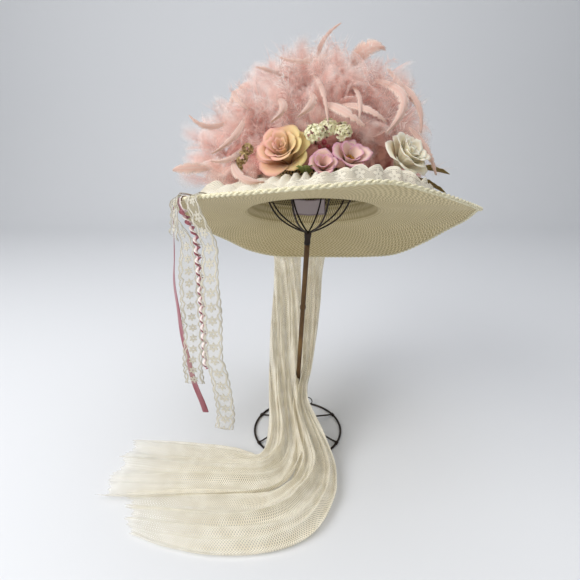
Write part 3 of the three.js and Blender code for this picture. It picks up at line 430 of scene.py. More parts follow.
turn = addNode(tree, "Math", [around, fullTurn * straw["lattice"]], "MULTIPLY")
ways = [addNode(tree, "Math", [addNode(tree, "Math", [turn, slant], way)], "SINE")
        for way in ("ADD", "SUBTRACT")]
lattice = addNode(tree, "Math", [addNode(tree, "Math", ways, "MAXIMUM"), 0.5, 0.5], "MULTIPLY_ADD")
inCrown = addNode(tree, "Math", [outward, -0.012], "LESS_THAN")
height = addNode(tree, "Mix", {0: inCrown, 2: brimHeight, 3: lattice})
# over a random tone of the straw, the grooves between the strokes and the rows are painted darker as shade
# and the strokes' crests lighter as highlight
tone = addNode(tree, "TexNoise", {"Vector": place, "Scale": 18.0, "Detail": 4.0})
tone = addNode(tree, "Math", [tone, 0.25], "MULTIPLY")
tone = addNode(tree, "Math", [brimHeight, 0.8, tone], "MULTIPLY_ADD")
brimColor = addNode(tree, "ValToRGB", [tone], stops=[(0.15, straw["dark"]), (0.5, straw["middle"]),
                                                     (0.95, straw["light"])])
# the lattice's gaps are painted near black and the whole crown painted darker, as the shade inside the crown
crownColor = addNode(tree, "ValToRGB", [lattice], stops=straw["crown"])
color = addNode(tree, "Mix", {0: inCrown, 6: brimColor, 7: crownColor}, data_type="RGBA").outputs[2]
relief = addNode(tree, "Bump", {"Height": height, "Strength": 0.7, "Distance": 0.0009})
setInputs(shader, {"Base Color": color, "Normal": relief})
finishPiece(strawHat, strawMaterial, ["crown", "brim"])
print("straw hat woven")

# twisted cord round the brim's edge: two strands wound on each other
braid = {"turns": 92, "strand": 1.45, "wind": 1.1, "color": "#e3d9ae"}


def strandPath(start):
    angle = np.linspace(0, fullTurn, braid["turns"] * 9 + 1)
    wind = angle * braid["turns"] + start
    outward = 2.4 + np.cos(wind) * braid["wind"]
    return toRoom(brimAt(angle, 1.0) + roundPoints(angle, outward, np.sin(wind) * braid["wind"]))


strands = [tubePiece("strand", strandPath(start), braid["strand"], 6, braid["turns"] * 9, closed=True)
           for start in (0, math.pi)]
brimBraid = joinPieces(strands, "brim_braid")
# cotton cord: matte, with fine fuzz along the twist
cordMaterial = mottledMaterial("twisted cotton cord", braid["color"], 0.7, 500.0, 3.0,
                               [(0.3, "#b8ac7e"), (0.6, "#efe8cb")], (0.4, 0.0005), {"Sheen Weight": 0.2},
                               (1, 1, 3))
finishPiece(brimBraid, cordMaterial, ["brim_edge_braid"])
print("braid twisted")

# wire stand: painted steel wire, bent by hand and soldered, so it is dark with a dull shine and rubbed places
steelMaterial = mottledMaterial("painted steel wire", "#241d19", 0.42, 90.0, 5.0,
                                [(0.35, "#1a1513"), (0.62, "#35271e"), (0.8, "#54402c")], (0.3, 0.0004),
                                {"Metallic": 0.55})
# the post is a drawn tube, lacquered brown, with long streaks where it is handled
bronzeMaterial = mottledMaterial("lacquered bronze tube", "#5a432c", 0.38, 45.0, 6.0,
                                 [(0.3, "#33261a"), (0.5, "#5f472e"), (0.72, "#86683f")], (0.35, 0.0005),
                                 {"Metallic": 0.7}, (1, 1, 0.35))

stand = {"ring": 72.7, "ringWire": 1.75, "legs": 6, "legWire": 1.4, "hub": (-3.65, 0, 26), "foot": (-5, 0, 0),
         "lean": 17.8 / 343, "collar": 227, "top": 343, "cage": 64, "cageWire": 1.2, "cageWires": 8,
         "legRise": [(0.12, 2.6), (0.3, 6.6), (0.5, 11.2), (0.7, 15.0), (0.9, 17.6), (0.96, 18.2)]}


def postAt(height):
    return np.array([stand["foot"][0] + stand["lean"] * height, 0.0, height])


def wrapPiece(centre, along, radius, wire, turns, pitch):
    # short winding of wire round a leg's end
    along = unit(np.array(along, float))
    side = unit(np.cross(along, [0, 0, 1.0]))
    other = np.cross(along, side)
    turn = np.linspace(0, fullTurn * turns, int(turns * 10) + 1)
    path = (np.array(centre) + np.outer(turn / fullTurn * pitch - turns * pitch / 2, along)
            + np.outer(np.cos(turn), side) * radius + np.outer(np.sin(turn), other) * radius)
    return tubePiece("wrap", path, wire, 6, len(turn) - 1)


def latheRows(name, profile):
    # profile: (radius, height) up the post; a grid wrapped round it
    profile = np.array(profile, float)
    centres = np.array([postAt(height) for height in profile[:, 1]])

    def shape(u, v):
        k = (v * (len(profile) - 1)).round().astype(int)
        return centres[k] + roundPoints(u * fullTurn, profile[k, 0], 0 * u)

    piece = gridPiece(name, 24, len(profile) - 1, shape)
    sealSeams(piece, fill=True)
    return piece


ringTurn = np.linspace(0, fullTurn, 145)
ringHeight = stand["ringWire"] + 0.02 + 0.25 * (1 + np.sin(ringTurn * 3 + 1))
ringPath = roundPoints(ringTurn, stand["ring"], ringHeight)
baseParts = [tubePiece("ring", ringPath, stand["ringWire"], 8, 144, closed=True)]
for i in range(stand["legs"]):
    angle = fullTurn * (i + 0.5) / stand["legs"]
    out = np.array([math.cos(angle), math.sin(angle), 0])
    foot = out * stand["ring"] + np.array([0, 0, 2.4])
    hub = np.array(stand["hub"]) * [1, 1, 0]
    leg = [foot + out * 1.5, foot * 0.995 + [0, 0, 1.2]]
    leg += [foot * (1 - s) + hub * s + np.array([0, 0, h]) for s, h in stand["legRise"]]
    baseParts.append(tubePiece("leg", leg, stand["legWire"], 8, 24))
    along = np.array([-math.sin(angle), math.cos(angle), 0])
    baseParts.append(wrapPiece(out * stand["ring"] + [0, 0, 2.3], along, 2.05, 0.75, 3.5, 1.6))
baseParts.append(latheRows("hub", [(3.2, 14), (5.4, 15), (6.4, 17), (7, 19.5), (6.9, 22), (6.2, 24.6),
                                   (4.9, 25.6), (4.2, 26)]))
loop = [(9, 71, 3.4), (10, 73, 8), (14, 74, 12), (20, 73, 13), (26, 72, 10.5), (28, 70, 6), (27, 68, 3.4)]
baseParts.append(tubePiece("loop", loop, 0.9, 6, 30))
standBase = joinPieces(baseParts, "stand_base_wire")
finishPiece(standBase, steelMaterial, ["stand_base"])

collar = stand["collar"]
postRows = [(3.4, 26.3), (3.5, 60), (3.4, 120), (3.6, 180), (3.6, collar - 4), (4.3, collar - 3),
            (4.6, collar - 1.5), (4.6, collar + 1.5), (4.2, collar + 3), (3.7, collar + 4.5), (3.8, 280),
            (3.9, 318), (3.9, 324.6)]
standPost = latheRows("stand_post_tube", postRows)
applyModifier(standPost, "BEVEL", width=0.0002, segments=1, limit_method="ANGLE")
finishPiece(standPost, bronzeMaterial, ["stand_post"])

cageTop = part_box("stand_cage")[1].z * 1000 - 1.5
cageRise = cageTop - stand["top"]
cageRows = [(0.045, -0.035), (0.06, 0.0), (0.26, 0.045), (0.5, 0.115), (0.72, 0.21), (0.9, 0.36), (1.0, 0.57),
            (0.88, 0.78), (0.56, 0.94), (0.28, 0.985), (0.03, 1.0)]
ferrule = [(4.2, 325), (4.6, 326), (4.6, 329), (4.3, 330), (4.4, 334), (4.9, 336), (5.2, 340), (5.2, 342.5),
           (4.6, 344), (3, 344.6)]
cageParts = [latheRows("ferrule", ferrule)]
for i in range(stand["cageWires"]):
    angle = fullTurn * (i + 0.5) / stand["cageWires"]
    path = [postAt(stand["top"]) + roundPoints(angle, out * stand["cage"], rise * cageRise)
            for out, rise in cageRows]
    cageParts.append(tubePiece("hoop", path, stand["cageWire"], 8, 44))
cageParts.append(wrapPiece(postAt(stand["top"]) + [0, 0, cageRise - 0.6], (0, 0, 1), 3, 0.8, 3, 1.2))
standCage = joinPieces(cageParts, "stand_cage_wire")
finishPiece(standCage, steelMaterial, ["stand_cage"])
print("stand bent")

# blank cloth label, stitched along its rim inside the crown's far wall
label = {"width": 56, "height": 25, "rise": 13, "gap": 2.4}


def labelShape(u, v):
    angle = math.pi / 2 + (0.5 - u) * label["width"] / hat["headB"]
    height = label["rise"] + label["height"] * v + 0.5 * np.sin(u * 9)
    pucker = 0.35 * np.sin(u * 31) * np.abs(v - 0.5) * 2
    radius = ovalRadius(hat["headA"], hat["headB"], angle) * crownShare(height / hat["crown"])
    return toRoom(roundPoints(angle, radius - hat["wall"] - label["gap"] + pucker, height))


labelPiece = gridPiece("label_cloth", 36, 16, labelShape)
giveWall(labelPiece, 0.5)
# woven satin: pale with a soft sheen, fine ribs and a darker stitched rim
labelMaterial, tree, shader = newMaterial("woven label satin", "#cfc6d2", 0.45, {"Sheen Weight": 0.4})
u, v = uvPlace(tree)
fromSide = addNode(tree, "Math", [u, 0.5], "PINGPONG")
fromEdge = addNode(tree, "Math", [addNode(tree, "Math", [v, 0.5], "PINGPONG"), 0.45], "MULTIPLY")
rim = addNode(tree, "Math", [addNode(tree, "Math", [fromSide, fromEdge], "MINIMUM"), 0.035], "LESS_THAN")
ribs = addNode(tree, "Math", [addNode(tree, "Math", [v, 260.0], "MULTIPLY")], "SINE")
color = addNode(tree, "Mix", {0: rim, 6: hexColor("#d0c2c6"), 7: hexColor("#9a878c")},
                data_type="RGBA").outputs[2]
height = addNode(tree, "Math", [rim, -0.8], "MULTIPLY")
height = addNode(tree, "Math", [ribs, 0.3, height], "MULTIPLY_ADD")
relief = addNode(tree, "Bump", {"Height": height, "Strength": 0.5, "Distance": 0.0003})
setInputs(shader, {"Base Color": color, "Normal": relief})
finishPiece(labelPiece, labelMaterial, ["label"])
print("label sewn")

# net scarf: fine cotton net that lets the light through between its threads.
# The cells are drawn 2.6 mm wide, about twice the real ones, so that they show.
net = {"cell": 0.0026, "thread": "#f9f5e9", "fold": "#ece6d6", "foldDepth": 21}


def netMaterial(name, across, along, opening, fray=1.0):
    # across and along are the cloth's size in metres, which makes the cells the same on every piece
    material, tree, shader = newMaterial(name, net["thread"], 0.85,
                                         {"Sheen Weight": 0.5, "Sheen Roughness": 0.5,
                                          "Emission Strength": 0.08})
    u, v = uvPlace(tree)
    x = addNode(tree, "Math", [u, across / net["cell"] * fullTurn], "MULTIPLY")
    y = addNode(tree, "Math", [v, along / net["cell"] * fullTurn], "MULTIPLY")
    threads = []
    for way in ("ADD", "SUBTRACT"):
        slanted = addNode(tree, "Math", [x, y], way)
        threads.append(addNode(tree, "Math", [addNode(tree, "Math", [slanted], "SINE"), 1.0]))
    hole = addNode(tree, "Math", threads, "MULTIPLY")
    # towards the cut end fewer threads are left
    sheer = addNode(tree, "MapRange", [v, 0.8, 1.0, opening, opening * fray])
    cover = addNode(tree, "MapRange", [hole, 0.7, 2.0, 1.0, sheer])
    thin = addNode(tree, "MapRange", [v, 0.84, 1.0, 1.0, 0.1 + 0.9 * fray])
    cover = addNode(tree, "Math", [cover, thin], "MULTIPLY")
    place = addNode(tree, "TexCoord").outputs["Object"]
    tone = addNode(tree, "TexNoise", {"Vector": place, "Scale": 60.0, "Detail": 4.0})
    color = addNode(tree, "ValToRGB", [tone], stops=[(0.3, net["fold"]), (0.65, net["thread"])])
    relief = addNode(tree, "Bump", {"Height": hole, "Strength": -0.4, "Distance": 0.0004})
    # the emission stands in for light scattered between the layers
    setInputs(shader, {"Base Color": color, "Emission Color": color, "Normal": relief})
    letLightThrough(shader, color, 0.4, cover)
    return material


# rows from the band over the brim's back edge, down past the post and out along the table:
# left end x, y, z, right end x, y, z, depth of the folds as a share
tailRows = {
    "left": [(-44, 122, 329, 8, 122, 329, 0.4), (-44, 140, 317, 8, 140, 317, 0.5),
             (-44, 166, 294, 8, 166, 294, 0.6), (-44, 190, 266, 8, 190, 266, 0.7),
             (-44, 201, 252, 8, 201, 252, 0.8), (-43, 200, 234, 8, 200, 234, 0.8),
             (-43, 178, 214, 8, 176, 213, 0.8), (-44, 120, 178, 8, 119, 177, 0.95),
             (-47, 60, 138, 5, 58, 136, 1.1), (-47, 15, 106, 2, 13, 102, 1.25),
             (-46, -22, 78, 0, -20, 79, 1.4), (-46, -50, 48, 5, -46, 42, 1.35),
             (-51, -63, 22, 8, -72, 20, 1.15), (-60, -68, 9, -6, -112, 10, 1.1),
             (-75, -67, 8, -38, -142, 8, 1.05), (-105, -59, 8, -100, -150, 8, 1.0),
             (-155, -50, 8, -158, -151, 8, 0.95), (-212, -39, 8, -218, -154, 8, 0.85),
             (-262, -29, 7, -274, -152, 7, 0.7)],
    "right": [(19, 122, 329, 56, 122, 327, 0.4), (19, 140, 317, 56, 140, 316, 0.5),
              (19, 166, 294, 56, 166, 292, 0.6), (19, 190, 266, 56, 190, 265, 0.7),
              (19, 201, 252, 56, 201, 252, 0.8), (19, 200, 234, 53, 200, 234, 0.8),
              (18, 176, 213, 49, 178, 213, 0.8), (14, 119, 176, 42, 121, 178, 0.9),
              (8, 57, 135, 32, 60, 138, 1.0), (3, 8, 102, 20, 12, 102, 1.1), (-3, -16, 88, 15, -14, 90, 1.15),
              (-10, -33, 70, 18, -31, 74, 1.25), (-8, -60, 42, 38, -58, 40, 1.25),
              (-2, -88, 18, 53, -90, 17, 1.15), (-14, -122, 12, 54, -124, 12, 1.1),
              (-36, -136, 10, 47, -158, 12, 1.1), (-56, -140, 8, 18, -206, 11, 1.05),
              (-84, -141, 7, -34, -230, 10, 1.0), (-122, -141, 7, -106, -234, 9, 0.95),
              (-166, -140, 6, -168, -222, 8, 0.85), (-236, -142, 6, -216, -204, 7, 0.7)],
}


# folds of a tail: how many across, how deep as a share, how many they wander by where the cloth hangs
tailFolds = [(1.4, 0.56, -0.9), (3.1, 0.56, -1.9), (5.6, 0.32, -2.6), (9.4, 0.13, -1.9), (15, 0.04, 1.1)]


def tailPiece(name, rows, seed):
    rows = np.array(rows, float)
    random = np.random.default_rng(seed)
    starts = random.uniform(0, 1, len(tailFolds))

    def shape(u, v):
        row = spline(rows, v)
        ahead, behind = spline(rows, v + 0.01), spline(rows, v - 0.01)
        left, right, fold = row[:, :3], row[:, 3:6], row[:, 6]
        middle = (ahead[:, :3] + ahead[:, 3:6] - behind[:, :3] - behind[:, 3:6]) / 2
        across = right - left
        normal = unit(np.cross(across, middle))
        wave = np.zeros_like(u)
        slide = np.zeros_like(u)
        drift = 0.5 - 0.5 * np.cos(math.pi * np.clip((v - 0.2) / 0.45, 0, 1)) + 0.2 * v
        for (number, depth, wander), start in zip(tailFolds, starts):
            sway = 0.12 * np.sin(fullTurn * (v * 2.1 + start))
            phase = fullTurn * (number * u + wander * drift + start + sway)
            wave += depth * (1 - 2 * np.abs(np.sin(phase / 2)) ** 1.2)  # sharp crests, round hollows
            slide += depth * np.sin(phase) * 0.045
        wave *= fold * net["foldDepth"] / 2
        wave += 0.5 * np.sin(u * 67 + v * 43 + seed) * np.sin(v * 91 + u * 13)
        points = left + across * (u + slide * np.sin(math.pi * u))[:, None] + normal * wave[:, None]
        lying = points[:, 2] < 20
        points[:, 2] = np.maximum(points[:, 2], 0.6 + 0.4 * np.sin(u * 31 + v * 57))
        ragged = 4 * np.sin(u * 19 + seed) + 2.5 * np.sin(u * 143)
        points[:, 0] += np.clip((v - 0.9) / 0.1, 0, 1) ** 2 * ragged * lying  # the cut end
        return points

    piece = gridPiece(name, 112, 132, shape)
    giveWall(piece, 0.45)
    return piece


tailMaterial = netMaterial("cotton net, scarf", 0.12, 0.95, 0.36, 0.2)
tailLeft = tailPiece("net_tail_left", tailRows["left"], 4)
finishPiece(tailLeft, tailMaterial, ["net_scarf_tail_left"])
tailRight = tailPiece("net_tail_right", tailRows["right"], 9)
finishPiece(tailRight, tailMaterial, ["net_scarf_tail_right"])

# net band: a gathered roll of the same net round the crown's foot
band = {"width": 34, "height": 22, "gathers": 58}
bandShare = {"bearing": [0, 60, 90, 120, 180, 225, 250, 285, 320, 360],
             "width": [0.8, 0.85, 1.1, 0.85, 0.9, 1.3, 1.35, 1.2, 0.9, 0.8],
             "height": [0.8, 0.9, 1.15, 0.9, 0.85, 0.95, 1.0, 0.9, 0.8, 0.8]}


def brimTopAt(angle, radius):
    inner = ovalRadius(hat["headA"] + 0.3, hat["headB"] + 0.3, angle)
    reach = np.linalg.norm(brimAt(angle, np.ones_like(radius))[..., :2], axis=-1)
    return edgeHeight(angle) * np.maximum((radius - inner) / (reach - inner), 0) ** hat["curve"] + 1.2


def bandShape(u, v):
    angle = u * fullTurn
    bearing = u * 360
    width = band["width"] * np.interp(bearing, bandShare["bearing"], bandShare["width"])
    rise = band["height"] * np.interp(bearing, bandShare["bearing"], bandShare["height"])
    sway = 0.6 * np.sin(angle * 5 + 2) + 0.4 * np.sin(angle * 11) + v * 1.3
    gather = np.cos(angle * band["gathers"] + sway * 3) * (0.6 + 0.4 * np.sin(angle * 7 + 1))
    turn = v * math.pi
    puff = 1 + 0.17 * gather * np.sin(turn) + 0.05 * np.sin(angle * 9 + v * 5)
    reach = (1 - np.cos(turn)) / 2 * width * puff
    radius = ovalRadius(hat["headA"], hat["headB"], angle) + 3 + reach
    height = brimTopAt(angle, radius) + 0.6 + rise * (np.sin(turn) ** 0.7 * 0.95 + 0.03) * puff
    return toRoom(roundPoints(angle, radius, height))


bandPiece = gridPiece("net_band", 400, 20, bandShape)
sealSeams(bandPiece)
giveWall(bandPiece, 0.5)
finishPiece(bandPiece, netMaterial("cotton net, band", 1.6, 0.12, 0.5), ["net_scarf_band"])
bpy.context.scene.cycles.transparent_max_bounces = 40
print("net folded")

# feather boa: a downy mound painted dark as shade, plumes modelled once and copied over it, and long curled
# feathers
# rows: height, reach to the left, front, right and back of the crown
fluff = {"heart": (0, 0, 65), "meshes": 3, "length": 46, "barbs": 30, "barb": 15, "web": 17,
         "rows": [(28, 136, 70, 114, 96), (52, 162, 86, 146, 114), (88, 142, 98, 142, 116),
                  (120, 116, 98, 136, 104), (150, 84, 84, 122, 88), (176, 44, 58, 100, 60),
                  (194, 8, 12, 34, 12)]}
fluffRows = np.array(fluff["rows"], float)
boaHeart = np.array(fluff["heart"], float)


def fluffAt(angle, level):
    # level runs from 0 at the lowest row to 1 at the top
    row = spline(fluffRows, level)
    toX = np.where(np.cos(angle) > 0, row[:, 3], row[:, 1])
    toY = np.where(np.sin(angle) > 0, row[:, 4], row[:, 2])
    radius = ovalRadius(toX, toY, angle) * (1 + 0.05 * np.sin(angle * 5 + level * 11))
    return roundPoints(angle, radius, row[:, 0])


def overCrown(points, gap):
    # keeps points out of the crown and above the brim
    angle = np.arctan2(points[:, 1], points[:, 0])
    lift = np.clip(points[:, 2] / (hat["crown"] + gap), 0, 1)
    wall = ovalRadius(hat["headA"], hat["headB"], angle) * crownShare(lift) + gap
    grow = np.maximum(wall / np.maximum(np.hypot(points[:, 0], points[:, 1]), 1), 1)
    moved = points * np.stack([grow, grow, np.ones_like(grow)], 1)
    moved[:, 2] = np.maximum(moved[:, 2], brimTopAt(angle, np.hypot(moved[:, 0], moved[:, 1])) + gap)
    return moved


def coreShape(u, v):
    points = (fluffAt(u * fullTurn, v) - boaHeart) * 0.78
    lump = np.sin(u * fullTurn * 9 + v * 14) * np.sin(v * 19 + u * fullTurn * 4)
    return toRoom(overCrown(boaHeart + points * (1 + 0.035 * lump)[:, None], 4))


core = gridPiece("boa_core", 84, 38, coreShape)
sealSeams(core, 0.00005)
giveWall(core, 1.5, 1.0)
# the depth of the boa: crushed down in painted shade, darker and blotchy where little light comes
coreMaterial = mottledMaterial("painted shade, depth of the boa", "#b9746c", 0.95, 55.0, 6.0,
                               [(0.4, "#94504a"), (0.6, "#e0aa9e")], (0.9, 0.003), {"Sheen Weight": 0.4})
finishPiece(core, coreMaterial, ["feather_boa"])


def spikeArrays(paths, radii):
    # three-sided closed spikes along many paths of the same number of points
    count, steps = paths.shape[:2]
    along = unit(np.gradient(paths, axis=1))
    side = unit(np.cross(along, [0.21, 0.35, 0.91]))
    other = np.cross(along, side)
    turn = (np.arange(3) * fullTurn / 3)[:, None]
    ring = np.cos(turn) * side[:, :, None] + np.sin(turn) * other[:, :, None]
    points = paths[:, :-1, None] + ring[:, :-1] * radii[:, :-1, None, None]
    points = np.concatenate([points.reshape(count, -1, 3), paths[:, -1:]], 1)
    faces = [(0, 2, 1)]
    for k in range(steps - 2):
        for n in range(3):
            a, b = k * 3 + n, k * 3 + (n + 1) % 3
            faces += [(a, b, b + 3), (a, b + 3, a + 3)]
    last = (steps - 2) * 3
    faces += [(last + n, last + (n + 1) % 3, last + 3) for n in range(3)]
    share = np.concatenate([np.repeat(np.arange(steps - 1) / (steps - 1), 3), [1.0]])
    faces = (np.array(faces)[None] + (np.arange(count) * points.shape[1])[:, None, None]).reshape(-1, 3)
    return points.reshape(-1, 3), faces, np.tile(share, count)


def plumeArrays(length, barb, count, seed):
    # one plume along x: a quill with soft barbs to both sides
    random = np.random.default_rng(seed)
    starts = np.linspace(0.05, 0.98, count)[:, None]
    steps = np.array([0, 0.5, 1])
    paths = []
    for side in (-1, 1):
        reach = barb * np.sin(math.pi * (0.12 + 0.8 * starts)) ** 0.6 * random.uniform(0.6, 1.3, (count, 1))
        lean = random.uniform(0.2, 1.1, (count, 1)) + starts * 0.4
        lift = random.normal(0, 0.7, (count, 1))
        curl = random.uniform(-1.2, 1.2, (count, 1))
        x = starts * length + reach * (np.sin(lean) * steps - 0.3 * np.abs(curl) * steps ** 2)
        y = side * reach * np.cos(lean) * (steps - 0.3 * curl * steps ** 2)
        z = reach * (lift * steps + 0.7 * curl * steps ** 2)
        paths.append(np.stack([x, y, z], -1))
    paths = np.concatenate(paths)
    points, faces, share = spikeArrays(paths, np.broadcast_to(0.19 * (1 - 0.4 * steps), paths.shape[:2]))
    quill = np.stack([np.linspace(0, length, 4), np.zeros(4), np.zeros(4)], -1)[None]
    quillPoints, quillFaces, quillShare = spikeArrays(quill, np.array([[0.35, 0.3, 0.2, 0.1]]))
    tone = np.clip(points[:, 0] / length, 0, 1) * 0.55 + share * 0.45
    tone = np.concatenate([tone, 0.35 + quillShare * 0.3])
    return (np.concatenate([points, quillPoints]), np.concatenate([faces, quillFaces + len(points)]),
            np.stack([0 * tone, tone], 1))


def bentCopies(points, length, roots, directions, normals, bends, sizes):
    # copies of one plume, each bent along its quill, turned and set on its root
    side = unit(np.cross(normals, directions))
    normals = np.cross(directions, side)
    t = points[None, :, 0] / length
    bend = bends[:, None]
    bendSafe = np.where(np.abs(bend) < 1e-3, 1e-3, bend)
    x = length * np.sin(bendSafe * t) / bendSafe - points[None, :, 2] * np.sin(bend * t)
    z = length * (1 - np.cos(bendSafe * t)) / bendSafe + points[None, :, 2] * np.cos(bend * t)
    y = np.broadcast_to(points[None, :, 1], x.shape)
    local = np.stack([x, y, z], -1) * sizes[:, None, None]
    frames = np.stack([directions, side, normals], 1)
    return roots[:, None] + np.einsum("nmk,nkj->nmj", local, frames)


def webArrays(length, half):
    # the finest down of a plume, too fine for spikes: a closed lens along x, whose material draws the strands
    v, u = np.meshgrid(np.linspace(0.002, 0.998, 7), np.linspace(0.002, 0.998, 5), indexing="ij")
    across = (u - 0.5) * 2
    x = v * length + np.abs(across) * half * 0.4
    y = across * half * np.sin(math.pi * (0.12 + 0.8 * v)) ** 0.6
    z = half * 0.3 * across ** 2
    swell = 0.3 * np.sin(math.pi * u) * np.sin(math.pi * v)
    index = np.arange(35).reshape(7, 5)
    under = index + 35
    under[[0, -1]], under[:, [0, -1]] = index[[0, -1]], index[:, [0, -1]]
    faces = []
    for layer, flip in ((index, 1), (under, -1)):
        a, b, c, d = layer[:-1, :-1], layer[1:, :-1], layer[1:, 1:], layer[:-1, 1:]
        for corners in ((a, b, c), (a, c, d)):
            faces.append(np.stack([part.ravel() for part in corners[::flip]], 1))
    faces = np.concatenate(faces)
    rim = np.setdiff1d(index, index[1:-1, 1:-1])
    faces = faces[~np.isin(faces, rim).all(1)]  # at two corners both layers would have the same triangle
    points = np.concatenate([np.stack([x, y, z + side * swell], -1).reshape(-1, 3) for side in (-1, 1)])
    return points, faces, np.tile(np.stack([u.ravel(), v.ravel()], 1), (2, 1))


# down: matte and soft, darker at the root of each plume and pale at the tips, partly its own colour and
# partly painted shade deep in the mass and painted highlight on the tips
downPink, tree, shader = newMaterial("pink goose down", "#d9a89f", 0.9,
                                     {"Sheen Weight": 0.5, "Sheen Roughness": 0.6, "Specular IOR Level": 0.15,
                                      "Emission Strength": 0.13})
shade, tip = uvPlace(tree)
tone = addNode(tree, "Math", [tip, 0.75, addNode(tree, "Math", [shade, 0.3], "MULTIPLY")], "MULTIPLY_ADD")
color = addNode(tree, "ValToRGB", [tone], stops=[(0.05, "#c98c82"), (0.28, "#e6b8ad"), (0.52, "#f8dfd6"),
                                                 (0.85, "#fffcf9")])
# stands in for light scattered deep in the down
setInputs(shader, {"Base Color": color, "Emission Color": color})
letLightThrough(shader, color, 0.5)

# fine down: strands that fade out towards the edge of each web
# its emission is a painted glow, standing in for light scattered deep in the down
webPink, tree, shader = newMaterial("fine goose down", "#f6dcd2", 0.95,
                                    {"Sheen Weight": 0.4, "Specular IOR Level": 0.1,
                                     "Emission Strength": 0.12})
u, v = uvPlace(tree)
along = addNode(tree, "Math", [v], "FRACT")
side = addNode(tree, "Math", [u, 0.5], "SUBTRACT")
side = addNode(tree, "Math", [addNode(tree, "Math", [side], "ABSOLUTE"), 2.0], "MULTIPLY")
place = addNode(tree, "TexCoord").outputs["Object"]
ruffled = addNode(tree, "TexNoise", {"Vector": place, "Scale": 120.0, "Detail": 3.0})
strand = addNode(tree, "Math", [v, 34.0, addNode(tree, "Math", [side, -7.0], "MULTIPLY")], "MULTIPLY_ADD")
strand = addNode(tree, "Math", [ruffled, 5.0, strand], "MULTIPLY_ADD")
strand = addNode(tree, "Math", [addNode(tree, "Math", [strand, fullTurn], "MULTIPLY")], "SINE")
strand = addNode(tree, "MapRange", [strand, -0.4, 1.0, 0.06, 0.8])
fade = addNode(tree, "Math", [ruffled, 0.6, side], "MULTIPLY_ADD")
fade = addNode(tree, "MapRange", [fade, 0.5, 1.25, 1.0, 0.0])
ends = addNode(tree, "Math", [addNode(tree, "Math", [along, 0.45], "SUBTRACT")], "ABSOLUTE")
ends = addNode(tree, "MapRange", [ends, 0.25, 0.5, 1.0, 0.0])
cover = addNode(tree, "Math", [addNode(tree, "Math", [strand, fade], "MULTIPLY"), ends], "MULTIPLY")
# darker at the root and along the middle, pale at the tips and edges: partly the down's own colour, partly
# painted shade deep in the mass and painted highlight on the tips
tone = addNode(tree, "Math", [addNode(tree, "Math", [along, side]), 0.5], "MULTIPLY")
color = addNode(tree, "ValToRGB", [tone], stops=[(0.08, "#dfb0a5"), (0.32, "#f0d0c6"), (0.65, "#fcf4ef")])
setInputs(shader, {"Base Color": color, "Emission Color": color})
letLightThrough(shader, color, 0.5, cover)

# plumes and webs set all over the fluff; left and top bound the gap in front where the flowers sit
downKinds = {
    "plume": {"count": 252, "left": -60, "top": 62, "low": 100, "depth": (0.72, 0.95), "spread": 0.62,
              "rise": 0.1, "bend": 2.3, "size": (0.55, 1.15)},
    "web": {"count": 760, "left": -58, "top": 76, "low": 0, "depth": (0.78, 0.98), "spread": 0.7, "rise": 0.2,
            "bend": 2.0, "size": (0.6, 1.1)},
}


def downMesh(name, seed, material, kindName):
    kind = downKinds[kindName]
    random = np.random.default_rng(seed)
    if kindName == "plume":
        points, faces, uv = plumeArrays(fluff["length"], fluff["barb"], fluff["barbs"], seed)
    else:
        points, faces, uv = webArrays(fluff["length"], fluff["web"])
    total = kind["count"]
    angle = random.uniform(0, fullTurn, total * 3)
    base = fluffAt(angle, random.uniform(0, 1, total * 3) ** 1.1)
    front = base[:, 1] < -35
    base = base[~(front & (base[:, 0] > kind["left"]) & (base[:, 2] < kind["top"]))][:total]
    low = (base[:, 1] < -35) & (base[:, 2] < kind["low"])
    roots = overCrown(boaHeart + (base - boaHeart) * random.uniform(*kind["depth"], (len(base), 1)), 5)
    outward = unit(base - boaHeart * [1, 1, 0.9])
    rise = np.where(low, 1.1, kind["rise"])[:, None] * [0, 0, 1]
    directions = unit(outward + random.normal(0, kind["spread"], outward.shape) + rise)
    normals = unit(np.cross(directions, random.normal(0, 1, directions.shape)))
    bends = random.uniform(-kind["bend"], kind["bend"], len(base))
    sizes = random.uniform(*kind["size"], len(base)) * np.where(low, 0.7, 1)
    copies = bentCopies(points, fluff["length"], roots, directions, normals, bends, sizes).reshape(-1, 3)
    # a plume has its own shade, and a web its own stretch of strands
    if kindName == "plume":
        shift = np.outer(random.uniform(0, 1, len(base)), [1, 0])
    else:
        shift = np.outer(np.arange(len(base)), [0, 1])
    allUv = (uv[None] + shift[:, None]).reshape(-1, 2)
    allFaces = (faces[None] + (np.arange(len(base)) * len(points))[:, None, None]).reshape(-1, 3)
    # what would pass through the brim or the crown lies on them instead
    return finishPiece(arrayPiece(name, toRoom(overCrown(copies, 2.2)), allFaces, allUv), material)


for i in range(fluff["meshes"]):
    downMesh(f"boa_plumes_{i + 1}", 20 + i, downPink, "plume")
downMesh("boa_fine_down", 60, webPink, "web")

